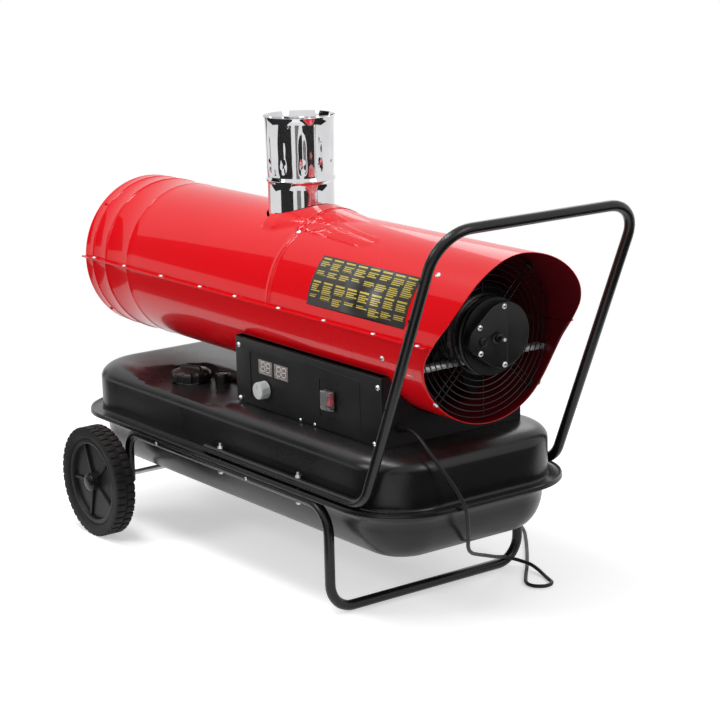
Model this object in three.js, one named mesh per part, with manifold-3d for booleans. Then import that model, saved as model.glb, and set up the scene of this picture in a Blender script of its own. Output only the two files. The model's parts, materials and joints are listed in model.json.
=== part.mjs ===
// Indirect-fired forced air heater: barrel on a control box, on a wheeled fuel tank.
// Millimetres, +Z up, fan end toward +X, control panel toward -Y, floor at z = 0.
import * as THREE from 'three';
import Module from 'manifold-3d';

const wasm = await Module();
wasm.setup();
const { Manifold, Mesh } = wasm;

// ---- driving sizes -------------------------------------------------------
const GAP = 0.3;                 // clearance between pieces that touch
const TUBE_D = 22;               // handle and frame tube
const TUBE_WALL = 1.8;
const SIDE_Y = 250;              // centre of the side tubes
const RAIL_Z = 258;              // handle rail centre height
const WHEEL_D = 254;
const WHEEL_W = 46;
const TRACK_Y = 358;             // outer face of each wheel
const AXLE_X = -438;
const AXLE_D = 12;
const BORE_GAP = 0.4;            // diametral running gap on shafts
const FOOT_X = 341;
const HANDLE = { front: -107, low: 460, top: 709, topZ: 837 };
const TANK = { x0: -660, x1: 531, y: 238, rc: 123, sheet: 1.4, topZ: 357, botZ: 131 };
const BARREL = { r: 178.5, sheet: 1.2, seatZ: 403.5, x0: -720 };
BARREL.z = BARREL.seatZ + BARREL.r;          // axis: the barrel's underside stays on the box
const SEAM_Z = BARREL.z + 7;                 // where upper and lower shells meet
const BOX = { x0: -83, x1: 435, y: 180, z1: 504, sheet: 1.5 };
const FLUE = { x: -76, r: 72, rim: 78, z0: BARREL.z + 136, z1: BARREL.z + 380, wall: 1.2 };
const RIM_X = [[-90, 549], [-25, 549], [-10, 562], [5, 599], [20, 638], [35, 654], [60, 658], [90, 652]];
const CAP = { x: -358, y: -124, d: 92, h: 34 };
const GLAND = { y: -135, z: 396, length: 22 };
const CORD_D = 8;
const FLOOR = CORD_D / 2;
// free stretch of the cord: out of the gland, over the tank's rear edge, past the foot, one loop, behind the tank
const CORD_ROUTE = [[BOX.x1 + GLAND.length + GAP, GLAND.y, GLAND.z], [467, -135, 396],
  [484, -135.5, 392.5], [507, -137, 381],
  [531, -137, 363], [552, -129, 338], [565, -114, 308], [571, -99, 281], [573, -88, 260], [571, -79, 239],
  [557, -64, 206], [530, -42, 166], [503, -20, 136], [478, 8, 113], [449, 47, 93], [416, 100, 70],
  [382, 155, 46], [361, 188, 33], [352, 207, 26], [360, 223, 20.5], [376, 234, 16.5], [394, 239.5, 14],
  [414, 240, 10], [436, 236, 6.2], [456, 230, FLOOR], [473, 223.5, FLOOR], [491.7, 215, FLOOR], [499.5, 197, FLOOR],
  [491.7, 179, FLOOR], [474, 170.5, FLOOR], [455, 176, FLOOR], [434, 193, FLOOR], [410, 215, FLOOR],
  [385, 239, FLOOR], [340, 279, FLOOR], [298, 315, FLOOR], [233, 368, FLOOR], [187, 402, FLOOR],
  [150, 420, FLOOR], [112, 424, FLOOR], [74, 414, FLOOR], [38, 396, FLOOR], [0, 379, FLOOR], [-45, 368.5, FLOOR]];
const COIL = { x: -110, y: 318, r: 44, layerTurns: 1, pitch: 8.6, leadOut: 44 };

// derived
const FLANGE_TOP = RAIL_Z - TUBE_D / 2 - GAP;
const FLANGE_T = 3;
const FLANGE_MID = FLANGE_TOP - FLANGE_T;
const FLANGE_BOT = FLANGE_MID - GAP - FLANGE_T;
const FRAME_Z = FLANGE_BOT - GAP - TUBE_D / 2;
const FLANGE_OUT = 29;
const RECESS_Z = 340;
const BOX_Z0 = TANK.topZ + GAP;
const AXLE_Z = WHEEL_D / 2;
const WHEEL_Y = TRACK_Y - WHEEL_W / 2;
const MOTOR = { r: 66, x0: 452, x1: 545 };
const GUARD_X = 534;
const BORE = (BARREL.r - BARREL.sheet) * Math.cos(Math.PI / 36);   // clear radius inside the faceted shell

// seam flanges along both sides of the barrel
const SEAM = { x0: BARREL.x0 + 2, x1: 585, out: 13, t: 1.8 };

// ---- materials -----------------------------------------------------------
const mat = (color, roughness, metalness) =>
  new THREE.MeshStandardMaterial({ color, roughness, metalness });
const RED = mat(0xc9141c, 0.28, 0.1);
const BLACK = mat(0x1b1b1d, 0.5, 0.3);
const SATIN = mat(0x252527, 0.42, 0.3);
const STEEL = mat(0xc9ccd0, 0.2, 0.95);
const ZINC = mat(0xb9bcc0, 0.4, 0.9);
const ALU = mat(0xa9abae, 0.45, 0.85);
const HEATSTEEL = mat(0x77756f, 0.55, 0.8);
const RUBBER = mat(0x161617, 0.85, 0);
const PLASTIC = mat(0x202022, 0.55, 0);
const PALE = mat(0xd8dad8, 0.45, 0);
const GREY = mat(0x8a8784, 0.4, 0);
const CERAMIC = mat(0xe9e6dc, 0.5, 0);
const SWITCHRED = mat(0xc01a22, 0.35, 0);
const GREEN = mat(0x1f5b35, 0.5, 0.1);
const BRASS = mat(0xb58a3c, 0.35, 0.9);

const group = new THREE.Group();
group.name = 'forced_air_heater';
const add = (name, geometry, material) => {
  const mesh = new THREE.Mesh(geometry, material);
  mesh.name = name;
  group.add(mesh);
  return mesh;
};

// ---- solid helpers -------------------------------------------------------
function toManifold(geometry) {
  const g = geometry.clone();
  g.deleteAttribute('normal');
  if (g.getAttribute('uv')) g.deleteAttribute('uv');
  const src = g.getAttribute('position');
  const index = g.index ? Array.from(g.index.array) : [...Array(src.count).keys()];
  const map = new Map();
  const verts = [];
  const remap = [];
  for (let i = 0; i < src.count; i += 1) {
    const p = [src.getX(i), src.getY(i), src.getZ(i)];
    const key = p.map((v) => Math.round(v * 1e4)).join(',');
    if (!map.has(key)) { map.set(key, verts.length / 3); verts.push(...p); }
    remap.push(map.get(key));
  }
  const tris = [];
  for (let i = 0; i < index.length; i += 3) {
    const [a, b, c] = [remap[index[i]], remap[index[i + 1]], remap[index[i + 2]]];
    if (a !== b && b !== c && a !== c) tris.push(a, b, c);
  }
  return new Manifold(new Mesh({
    numProp: 3, vertProperties: new Float32Array(verts), triVerts: new Uint32Array(tris),
  }));
}

function fromManifold(solid) {
  const m = solid.getMesh();
  const g = new THREE.BufferGeometry();
  const pos = new Float32Array(m.numVert * 3);
  for (let i = 0; i < m.numVert; i += 1) {
    for (let k = 0; k < 3; k += 1) pos[i * 3 + k] = m.vertProperties[i * m.numProp + k];
  }
  g.setAttribute('position', new THREE.BufferAttribute(pos, 3));
  g.setIndex(Array.from(m.triVerts));
  g.computeVertexNormals();
  return g;
}

const union = (...parts) => parts.reduce((a, b) => a.add(b));
const cut = (a, ...tools) => tools.reduce((s, t) => s.subtract(t), a);

function box(x0, x1, y0, y1, z0, z1) {
  const g = new THREE.BoxGeometry(x1 - x0, y1 - y0, z1 - z0);
  g.translate((x0 + x1) / 2, (y0 + y1) / 2, (z0 + z1) / 2);
  return toManifold(g);
}

// turned solid: profile [radius, along] from axis to axis (or a closed loop), along +axis
function turned(profile, segs, axis, at = [0, 0, 0]) {
  const g = new THREE.LatheGeometry(profile.map(([r, h]) => new THREE.Vector2(r, h)), segs);
  orient(g, axis, at);
  let s = toManifold(g);
  if (s.volume() < 0) {
    const flip = new THREE.LatheGeometry([...profile].reverse().map(([r, h]) => new THREE.Vector2(r, h)), segs);
    orient(flip, axis, at);
    s = toManifold(flip);
  }
  return s;
}
function orient(g, axis, at) {
  if (axis === 'z') g.rotateX(Math.PI / 2);
  if (axis === 'x') g.rotateZ(-Math.PI / 2);
  if (axis === '-x') g.rotateZ(Math.PI / 2);
  if (axis === '-y') g.rotateX(Math.PI);
  g.translate(...at);
}
const rod = (r, h0, h1, segs, axis, at) => turned([[0, h0], [r, h0], [r, h1], [0, h1]], segs, axis, at);
const ring = (ri, ro, h0, h1, segs, axis, at) =>
  turned([[ri, h0], [ro, h0], [ro, h1], [ri, h1], [ri, h0]], segs, axis, at);

// extruded flat shape: points [u, v], thickness along w; plane 'xy', 'xz' (facing -Y) or 'yz' (facing +X)
function plate(points, depth, plane, at, holes = []) {
  const shape = new THREE.Shape(points.map(([u, v]) => new THREE.Vector2(u, v)));
  holes.forEach((h) => shape.holes.push(new THREE.Path(h.map(([u, v]) => new THREE.Vector2(u, v)))));
  const g = new THREE.ExtrudeGeometry(shape, { depth, bevelEnabled: false });
  if (plane === 'xz') g.rotateX(Math.PI / 2);
  if (plane === 'yz') { g.rotateX(Math.PI / 2); g.rotateZ(Math.PI / 2); }
  g.translate(...at);
  return toManifold(g);
}

// stacked closed rings of points -> solid
function loft(rings) {
  const n = rings[0].length;
  const pos = rings.flat().flatMap((p) => [p[0], p[1], p[2]]);
  const idx = [];
  for (let k = 0; k < rings.length - 1; k += 1) {
    for (let i = 0; i < n; i += 1) {
      const j = (i + 1) % n;
      const [a, b, c, d] = [k * n + i, k * n + j, (k + 1) * n + j, (k + 1) * n + i];
      idx.push(a, b, c, a, c, d);
    }
  }
  const top = (rings.length - 1) * n;
  for (let i = 1; i < n - 1; i += 1) {
    idx.push(0, i + 1, i);
    idx.push(top, top + i, top + i + 1);
  }
  const g = new THREE.BufferGeometry();
  g.setAttribute('position', new THREE.BufferAttribute(new Float32Array(pos), 3));
  g.setIndex(idx);
  return toManifold(g);
}

// path with rounded corners: corners [[x,y,z,radius]...]
function bentPath(corners, steps = 4) {
  const pts = corners.map((c) => new THREE.Vector3(c[0], c[1], c[2]));
  const out = [pts[0]];
  for (let i = 1; i < pts.length - 1; i += 1) {
    const a = pts[i - 1].clone().sub(pts[i]).normalize();
    const b = pts[i + 1].clone().sub(pts[i]).normalize();
    const half = a.angleTo(b) / 2;
    const r = corners[i][3];
    const t = r / Math.tan(half);
    const bis = a.clone().add(b).normalize();
    const centre = pts[i].clone().addScaledVector(bis, r / Math.sin(half));
    const s0 = pts[i].clone().addScaledVector(a, t).sub(centre);
    const s1 = pts[i].clone().addScaledVector(b, t).sub(centre);
    const sweep = s0.angleTo(s1);
    const axis = s0.clone().cross(s1).normalize();
    for (let k = 0; k <= steps; k += 1) {
      out.push(s0.clone().applyAxisAngle(axis, (sweep * k) / steps).add(centre));
    }
  }
  out.push(pts[pts.length - 1]);
  return out;
}

// drops the rounding error that would lean a flat-sided tube off the axes
function straighten(u) {
  const near = (c) => (Math.abs(c - Math.round(c)) < 0.02 ? Math.round(c) : c);
  u.set(near(u.x), near(u.y), near(u.z)).normalize();
}

// round tube swept along points; rIn > 0 makes it hollow and open at both ends
function sweepTube(pts, rOut, rIn, n, phase = 0) {
  const m = pts.length;
  const tan = pts.map((p, i) => {
    const t = new THREE.Vector3();
    if (i > 0) t.add(p.clone().sub(pts[i - 1]).normalize());
    if (i < m - 1) t.add(pts[i + 1].clone().sub(p).normalize());
    return t.normalize();
  });
  let u = new THREE.Vector3(0, 0, 1);
  if (Math.abs(tan[0].z) > 0.9) u = new THREE.Vector3(1, 0, 0);
  u.addScaledVector(tan[0], -u.dot(tan[0])).normalize();
  const rings = [];
  for (let i = 0; i < m; i += 1) {
    if (i > 0) {
      const q = new THREE.Quaternion().setFromUnitVectors(tan[i - 1], tan[i]);
      u.applyQuaternion(q);
      u.addScaledVector(tan[i], -u.dot(tan[i])).normalize();
    }
    straighten(u);
    const v = tan[i].clone().cross(u);
    // mitre: keep the section true to the straight runs
    let stretch = 1;
    let bendDir = null;
    if (i > 0 && i < m - 1) {
      const a = pts[i].clone().sub(pts[i - 1]).normalize();
      stretch = 1 / Math.max(0.9, a.dot(tan[i]));
      bendDir = a.clone().sub(tan[i].clone().multiplyScalar(a.dot(tan[i])));
      if (bendDir.length() < 1e-6) bendDir = null; else bendDir.normalize();
    }
    const mk = (r) => [...Array(n)].map((_, k) => {
      const ang = phase + (k * 2 * Math.PI) / n;
      const d = u.clone().multiplyScalar(r * Math.cos(ang)).addScaledVector(v, r * Math.sin(ang));
      if (bendDir) d.addScaledVector(bendDir, d.dot(bendDir) * (stretch - 1));
      return pts[i].clone().add(d).toArray();
    });
    rings.push([mk(rOut), rIn > 0 ? mk(rIn) : null]);
  }
  const outer = rings.map((r) => r[0]);
  if (rIn <= 0) return loft(outer);
  const pos = [...outer, ...rings.map((r) => r[1])].flat(2);
  const idx = [];
  const quad = (a, b, c, d) => idx.push(a, b, c, a, c, d);
  const base = m * n;
  for (let k = 0; k < m - 1; k += 1) {
    for (let i = 0; i < n; i += 1) {
      const j = (i + 1) % n;
      quad(k * n + i, k * n + j, (k + 1) * n + j, (k + 1) * n + i);
      quad(base + k * n + j, base + k * n + i, base + (k + 1) * n + i, base + (k + 1) * n + j);
    }
  }
  const e = (m - 1) * n;
  for (let i = 0; i < n; i += 1) {
    const j = (i + 1) % n;
    quad(j, i, base + i, base + j);
    quad(e + i, e + j, base + e + j, base + e + i);
  }
  const g = new THREE.BufferGeometry();
  g.setAttribute('position', new THREE.BufferAttribute(new Float32Array(pos), 3));
  g.setIndex(idx);
  return toManifold(g);
}

// clamp bolts go through handle rail, tank flange and frame rail
const BOLTS = [[-51, -SIDE_Y], [238, -SIDE_Y], [-51, SIDE_Y], [238, SIDE_Y]];
const boltHoles = () => BOLTS.map(([x, y]) => rod(3.5, 200, 290, 6, 'z', [x, y, 0]));

// ---- tank ----------------------------------------------------------------
function tankRing(inset, z, n = 4) {
  const { x0, x1, y, rc } = TANK;
  const r = Math.max(rc - inset, 12);
  const out = [];
  const corners = [[x1 - inset - r, y - inset - r, 0], [x0 + inset + r, y - inset - r, 1],
    [x0 + inset + r, -(y - inset - r), 2], [x1 - inset - r, -(y - inset - r), 3]];
  corners.forEach(([cx, cy, q]) => {
    for (let k = 0; k <= n; k += 1) {
      const a = (q + k / n) * (Math.PI / 2);
      out.push([cx + r * Math.cos(a), cy + r * Math.sin(a), z]);
    }
  });
  return out;
}
const curve = (inset, rx, z, rz, steps) => [...Array(steps + 1)].map((_, k) => {
  const a = (k / steps) * (Math.PI / 2);
  return [inset + rx * (1 - Math.cos(a)), z + rz * Math.sin(a)];
});

function tankUpper() {
  const { sheet: t, topZ } = TANK;
  const f = FLANGE_OUT;
  const outer = [[-f, FLANGE_MID], [-f - 0.5, FLANGE_TOP], [-f + 1, FLANGE_TOP + 3.5], [-f + 4, FLANGE_TOP + 3.5],
    [-f + 6, FLANGE_TOP], [-2, FLANGE_TOP], [0, FLANGE_TOP + 3], ...curve(0, 54, topZ - 34, 34, 4)];
  const inner = [[t + 3, FLANGE_MID - 1], [t, FLANGE_MID + 6], ...curve(t, 54 - t, topZ - 34, 34 - t, 3)];
  const recess = (grow) => loft([recessRing(grow, RECESS_Z - grow), recessRing(grow, topZ + 20)]);
  const shellOut = loft(outer.map(([i, z]) => tankRing(i, z))).subtract(recess(0));
  const shellIn = loft(inner.map(([i, z]) => tankRing(i, z))).subtract(recess(t));
  return cut(shellOut, shellIn, ...boltHoles(),
    rod(30 + GAP, -20, 20, 18, 'z', [CAP.x, CAP.y, RECESS_Z]),
    rod(9.4, -20, 20, 10, 'z', [-300, -76, RECESS_Z]),
    rod(5.3, -20, 20, 12, 'z', [-250, 20, TANK.topZ]));
}
function recessRing(grow, z, n = 3) {
  const [x0, x1, y0, y1, r] = [-436 - grow, -92 + grow, -232 - grow, -42 + grow, 58 + grow];
  const out = [];
  [[x1 - r, y1 - r, 0], [x0 + r, y1 - r, 1], [x0 + r, y0 + r, 2], [x1 - r, y0 + r, 3]].forEach(([cx, cy, q]) => {
    for (let k = 0; k <= n; k += 1) {
      const a = (q + k / n) * (Math.PI / 2);
      out.push([cx + r * Math.cos(a), cy + r * Math.sin(a), z]);
    }
  });
  return out;
}
function tankLower() {
  const { sheet: t, botZ } = TANK;
  const f = FLANGE_OUT;
  const z1 = FLANGE_MID - GAP;
  const down = (inset, rx, z, rz, steps) => curve(inset, rx, -z, rz, steps).map(([i, zz]) => [i, -zz]).reverse();
  const outer = [...down(12, 66, botZ + 82, 82, 4), [1, FLANGE_BOT - 12], [0, FLANGE_BOT], [-f, FLANGE_BOT],
    [-f - 0.5, z1]];
  const inner = [...down(12 + t, 66 - t, botZ + 82, 82 - t, 3), [1 + t, FLANGE_BOT - 12], [3 + t, z1 + 1]];
  const channel = (g) => rod(AXLE_D / 2 + 4 + g, -400, 400, 10, 'y', [AXLE_X, 0, AXLE_Z]);
  return cut(loft(outer.map(([i, z]) => tankRing(i, z))), channel(0), ...boltHoles(),
    loft(inner.map(([i, z]) => tankRing(i, z))).subtract(channel(t)));
}

// ---- filler, gauge, pickup ----------------------------------------------
function fillerParts() {
  const at = [CAP.x, CAP.y, RECESS_Z];
  add('filler_neck', fromManifold(turned([[26, -24], [30, -24], [30, GAP], [37, GAP], [37, 3], [31, 3], [31, 14],
    [26, 14], [26, -24]], 18, 'z', at)), ZINC);
  const basket = turned([[0, -92], [18, -92], [25.5, -20], [25.5, 14.3], [28, 14.3], [28, 15.5], [23.5, 15.5],
    [23.5, -19], [16.5, -90], [0, -90]], 10, 'z', at);
  const slots = [];
  for (let i = 0; i < 4; i += 1) {
    const a = (i * 90 * Math.PI) / 180;
    slots.push(box(10, 40, -3, 3, -70, -34).rotate([0, 0, (a * 180) / Math.PI]).translate(at));
  }
  add('filler_strainer', fromManifold(cut(basket, ...slots)), ZINC);
  // lobed cap: skirt with eight grips, low dome with a ridge
  const lobes = [...Array(32)].map((_, i) => {
    const a = ((i + 0.5) / 32) * 2 * Math.PI;
    const c = Math.cos(8 * a);
    const r = CAP.d / 2 - (c < -0.2 ? 4.2 * Math.min(1, (-c - 0.2) / 0.4) : 0);
    return [r * Math.cos(a), r * Math.sin(a)];
  });
  const z0 = RECESS_Z + 3 + GAP;
  const skirt = plate(lobes, CAP.h - 12, 'xy', [CAP.x, CAP.y, z0]);
  const dome = turned([[0, 0], [CAP.d / 2 - 7, 0], [CAP.d / 2 - 9, 3], [CAP.d / 2 - 18, 5.5], [0, 7]], 18, 'z',
    [CAP.x, CAP.y, z0 + CAP.h - 12.01]);
  const ridge = loft([[[-34, -10, 0], [34, -10, 0], [34, 10, 0], [-34, 10, 0]],
    [[-24, -6, 12], [24, -6, 12], [24, 6, 12], [-24, 6, 12]]])
    .rotate([0, 0, 20]).translate([CAP.x, CAP.y, z0 + CAP.h - 11.8]);
  const hollow = turned([[0, -1], [38.5, -1], [38.5, 17], [0, 17]], 20, 'z', [CAP.x, CAP.y, z0]);
  add('filler_cap', fromManifold(cut(union(skirt, dome, ridge), hollow)), PLASTIC);
  add('cap_seal', fromManifold(ring(27, 37, 0, 4.2, 16, 'z',
    [CAP.x, CAP.y, RECESS_Z + 15.8])), RUBBER);
  // level gauge beside the cap: head, pointer disc and float arm
  const gx = [-300, -76, RECESS_Z];
  const head = turned([[0, GAP], [18, GAP], [18, 18], [16.5, 22], [14, 22], [14, 19], [0, 19]], 16, 'z', gx);
  const stem = rod(9, -26, 1, 10, 'z', gx);
  const eye = box(-306, -294, -79, -73, RECESS_Z - 40, RECESS_Z - 24);
  add('level_gauge', fromManifold(cut(union(head, stem, eye),
    rod(1.4, -20, 20, 10, 'y', [-300, -76, RECESS_Z - 35]))), PLASTIC);
  add('gauge_pointer', fromManifold(union(rod(3, 0, 1.2, 12, 'z', [-300, -76, RECESS_Z + 19.3]),
    box(-300.8, -299.2, -86.5, -76, RECESS_Z + 19.4, RECESS_Z + 20.4))), SWITCHRED);
}
function floatArm() {
  const z = RECESS_Z - 35;
  const side = -69.5;
  const arm = union(
    rod(1.1, -10, 10, 8, 'y', [-300, -76, z]),
    box(-301.5, -298.5, -68.6, -66.2, z - 3, z + 3),
    box(-300, -196, -68.6, -66.2, z - 62, z - 59),
    box(-301.5, -298.5, -68.6, -66.2, z - 62, z + 2));
  const floatBody = rod(17, -22, 22, 16, 'y', [-180, side + 2.1, z - 60.5]);
  const hung = union(arm, floatBody).translate([300, 76, -z]).rotate([0, 33, 0]).translate([-300, -76, z]);
  add('float_arm', fromManifold(hung), PLASTIC);
}
function pickup() {
  const [x, y] = [-250, 20];
  const tube = rod(3, 150 - 357, 34, 8, 'z', [x, y, 357]);
  const collar = union(turned([[0, 357 + GAP], [11, 357 + GAP], [11, 362], [6, 364], [0, 364]], 10, 'z', [x, y, 0]),
    rod(5, 352, 358, 8, 'z', [x, y, 0]));
  const screen = rod(10, 140, 158, 10, 'z', [x, y, 0]);
  const elbow = rod(3, -1, 12, 8, 'x', [x, y, 388]);
  add('fuel_pickup', fromManifold(union(tube, collar, screen, elbow)), BRASS);
}

// ---- tubes ---------------------------------------------------------------
const TUBE_SIDES = 8;
const BEND_STEPS = 3;
function frames() {
  const h = HANDLE;
  const handle = bentPath([[h.front, -SIDE_Y, RAIL_Z], [h.low, -SIDE_Y, RAIL_Z, 60], [h.top, -SIDE_Y, h.topZ, 78],
    [h.top, SIDE_Y, h.topZ, 78], [h.low, SIDE_Y, RAIL_Z, 60], [h.front, SIDE_Y, RAIL_Z]], BEND_STEPS);
  add('handle_tube', fromManifold(cut(sweepTube(handle, TUBE_D / 2, TUBE_D / 2 - TUBE_WALL, TUBE_SIDES), ...boltHoles())),
    BLACK);
  const low = bentPath([[AXLE_X, -SIDE_Y, AXLE_Z - 18], [AXLE_X, -SIDE_Y, FRAME_Z, 45],
    [FOOT_X, -SIDE_Y, FRAME_Z, 60], [FOOT_X, -SIDE_Y, TUBE_D / 2, 55], [FOOT_X, SIDE_Y, TUBE_D / 2, 55],
    [FOOT_X, SIDE_Y, FRAME_Z, 60], [AXLE_X, SIDE_Y, FRAME_Z, 45], [AXLE_X, SIDE_Y, AXLE_Z - 18]], BEND_STEPS);
  const cross = rod(AXLE_D / 2 + 0.25, -300, 300, 12, 'y', [AXLE_X, 0, AXLE_Z]);
  const flats = Math.PI / TUBE_SIDES;   // flats of the section face down, so the foot bar has a flat underside
  const toCorner = 1 / Math.cos(flats);
  add('frame_tube', fromManifold(cut(sweepTube(low, (TUBE_D / 2) * toCorner, (TUBE_D / 2 - TUBE_WALL) * toCorner,
    TUBE_SIDES, flats), cross, ...boltHoles())),
    BLACK);
}
function clampBolts() {
  BOLTS.forEach(([x, y], i) => {
    const z0 = FRAME_Z - TUBE_D / 2;
    const z1 = RAIL_Z + TUBE_D / 2;
    const body = union(
      turned([[0, z0 - 5.5], [4.5, z0 - 5.5], [6.2, z0 - 3], [6.2, z0 - GAP], [0, z0 - GAP]], 8, 'z', [x, y, 0]),
      rod(3, z0 - 2, z1 + 12, 6, 'z', [x, y, 0]),
      rod(5.8, z1 + GAP, z1 + 5.5, 6, 'z', [x, y, 0]));
    add(`clamp_bolt_${i + 1}`, fromManifold(body), ZINC);
  });
}

// ---- wheels --------------------------------------------------------------
const WHEEL_SEGS = 24;
function wheel(side) {
  const s = side === 'near' ? -1 : 1;
  const at = [AXLE_X, s * WHEEL_Y, AXLE_Z];
  const bore = AXLE_D / 2 + BORE_GAP / 2;
  const rimR = 98;
  const disc = turned([[bore, -23], [19, -23], [19, -5], [84, -5], [88, -17], [rimR, -17], [rimR, 17], [88, 17],
    [84, 5], [22, 5], [19, 21], [bore, 21], [bore, -23]], WHEEL_SEGS, 'y', [0, 0, 0]);
  const windows = [...Array(5)].map((_, i) => {
    const a = (i * 72 * Math.PI) / 180;
    const arc = [...Array(3)].map((__, k) => {
      const b = (-25 + (50 * k) / 2) * (Math.PI / 180);
      return [82 * Math.cos(b), 82 * Math.sin(b)];
    });
    const pts = [[34, -12], ...arc, [34, 12], [31, 0]];
    const rot = pts.map(([u, v]) => [u * Math.cos(a) - v * Math.sin(a), u * Math.sin(a) + v * Math.cos(a)]);
    return plate(rot, 40, 'xz', [0, 20, 0]);
  });
  // outer face toward the side: the deep hub side points out
  const solid = cut(disc, ...windows);
  const placed = s < 0 ? solid.rotate([0, 0, 180]).translate(at) : solid.translate(at);
  add(`wheel_${side}`, fromManifold(placed), PLASTIC);
  const R = WHEEL_D / 2;
  const w = WHEEL_W / 2;
  const tyre = turned([[rimR + GAP, -17], [104, -w + 1], [118, -w], [R, -w + 9], [R, w - 9],
    [118, w], [104, w - 1], [rimR + GAP, 17], [rimR + GAP, -17]], WHEEL_SEGS, 'y', [0, 0, 0]);
  add(`tyre_${side}`, fromManifold(tyre.translate(at)), RUBBER);
  const out = s * (WHEEL_Y + 21.3);
  const cap = turned([[0, 0.3], [21, 0.3], [22, 3], [20, 6.5], [0, 9]], 16, s > 0 ? 'y' : '-y',
    [AXLE_X, out, AXLE_Z]);
  add(`hub_cap_${side}`, fromManifold(cut(cap, rod(7.5, -5, 3, 10, 'y', [AXLE_X, out, AXLE_Z]))), PLASTIC);
}

// ---- barrel --------------------------------------------------------------
const interp = (table, v) => {
  if (v <= table[0][0]) return table[0][1];
  for (let i = 1; i < table.length; i += 1) {
    if (v <= table[i][0]) {
      const [a, b] = [table[i - 1], table[i]];
      const t = (v - a[0]) / (b[0] - a[0]);
      return a[1] + (b[1] - a[1]) * (t * t * (3 - 2 * t));
    }
  }
  return table[table.length - 1][1];
};
// ridges round the shell: [x, height] stations
const STATIONS = [[-720, 0.6], [-635, 0], [-626, 3], [-617, 0],
  [33, 0], [42, 1.8], [51, 0], [470, 0]];
const SHELL_STEPS = 18;

function shell(angles, hoodFrom) {
  const nx = STATIONS.length + 3;
  const rows = (offset) => {
    const out = [];
    for (let i = 0; i < nx; i += 1) {
      const row = [];
      for (const a of angles) {
        const elev = a > 90 ? 180 - a : a < -90 ? -180 - a : a;
        let x; let bump = 0;
        if (i < STATIONS.length) [x, bump] = STATIONS[i];
        else {
          const end = interp(RIM_X, elev);
          x = hoodFrom + ((end - hoodFrom) * (i - STATIONS.length + 1)) / 3;
        }
        const r = BARREL.r + bump - offset;
        const c = (a * Math.PI) / 180;
        row.push([x, r * Math.cos(c), BARREL.z + r * Math.sin(c)]);
      }
      out.push(row);
    }
    return out;
  };
  const [o, n] = [rows(0), rows(BARREL.sheet)];
  const m = angles.length;
  const pos = [...o.flat(), ...n.flat()].flat();
  const base = nx * m;
  const idx = [];
  const quad = (a, b, c, d) => idx.push(a, b, c, a, c, d);
  for (let i = 0; i < nx - 1; i += 1) {
    for (let j = 0; j < m - 1; j += 1) {
      const [a, b, c, d] = [i * m + j, (i + 1) * m + j, (i + 1) * m + j + 1, i * m + j + 1];
      quad(a, b, c, d);
      quad(base + a, base + d, base + c, base + b);
    }
    const [s0, s1, e0, e1] = [i * m, (i + 1) * m, i * m + m - 1, (i + 1) * m + m - 1];
    quad(s0, base + s0, base + s1, s1);
    quad(e0, e1, base + e1, base + e0);
  }
  for (let j = 0; j < m - 1; j += 1) {
    quad(j, j + 1, base + j + 1, base + j);
    const k = (nx - 1) * m;
    quad(k + j, base + k + j, base + k + j + 1, k + j + 1);
  }
  const g = new THREE.BufferGeometry();
  g.setAttribute('position', new THREE.BufferAttribute(new Float32Array(pos), 3));
  g.setIndex(idx);
  let s = toManifold(g);
  if (s.volume() < 0) {
    const flip = [];
    for (let i = 0; i < idx.length; i += 3) flip.push(idx[i], idx[i + 2], idx[i + 1]);
    g.setIndex(flip);
    s = toManifold(g);
  }
  return s;
}
const steps = (a, b, n) => [...Array(n + 1)].map((_, i) => a + ((b - a) * i) / n);

function barrel() {
  const edge = (Math.asin((SEAM_Z - BARREL.z) / BARREL.r) * 180) / Math.PI;
  const past = 1.5;            // degrees of sheet beyond the seam, trimmed away with the flanges
  const y0 = BARREL.r - BARREL.sheet * 0.6;
  const strip = (side) => {
    const [a, b] = side > 0 ? [y0, BARREL.r + SEAM.out] : [-BARREL.r - SEAM.out, -y0];
    return box(SEAM.x0, SEAM.x1, a, b, SEAM_Z - SEAM.t, SEAM_Z + SEAM.t);
  };
  const above = box(-900, 900, -400, 400, SEAM_Z + GAP / 2, 1200);
  const below = box(-900, 900, -400, 400, 0, SEAM_Z - GAP / 2);
  const hole = rod(FLUE.r + 3, 0, 300, 20, 'z', [FLUE.x, 0, BARREL.z]);
  const upper = steps(edge - past, 180 - edge + past, SHELL_STEPS);
  const top = union(shell(upper, 470), saddleSolid(upper), strip(1), strip(-1));
  add('upper_shell', fromManifold(cut(top, hole).intersect(above)), RED);
  const lower = union(shell(steps(-180 - edge - past, edge + past, SHELL_STEPS), 470), strip(1), strip(-1));
  add('lower_shell', fromManifold(lower.intersect(below)), RED);
}
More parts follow.
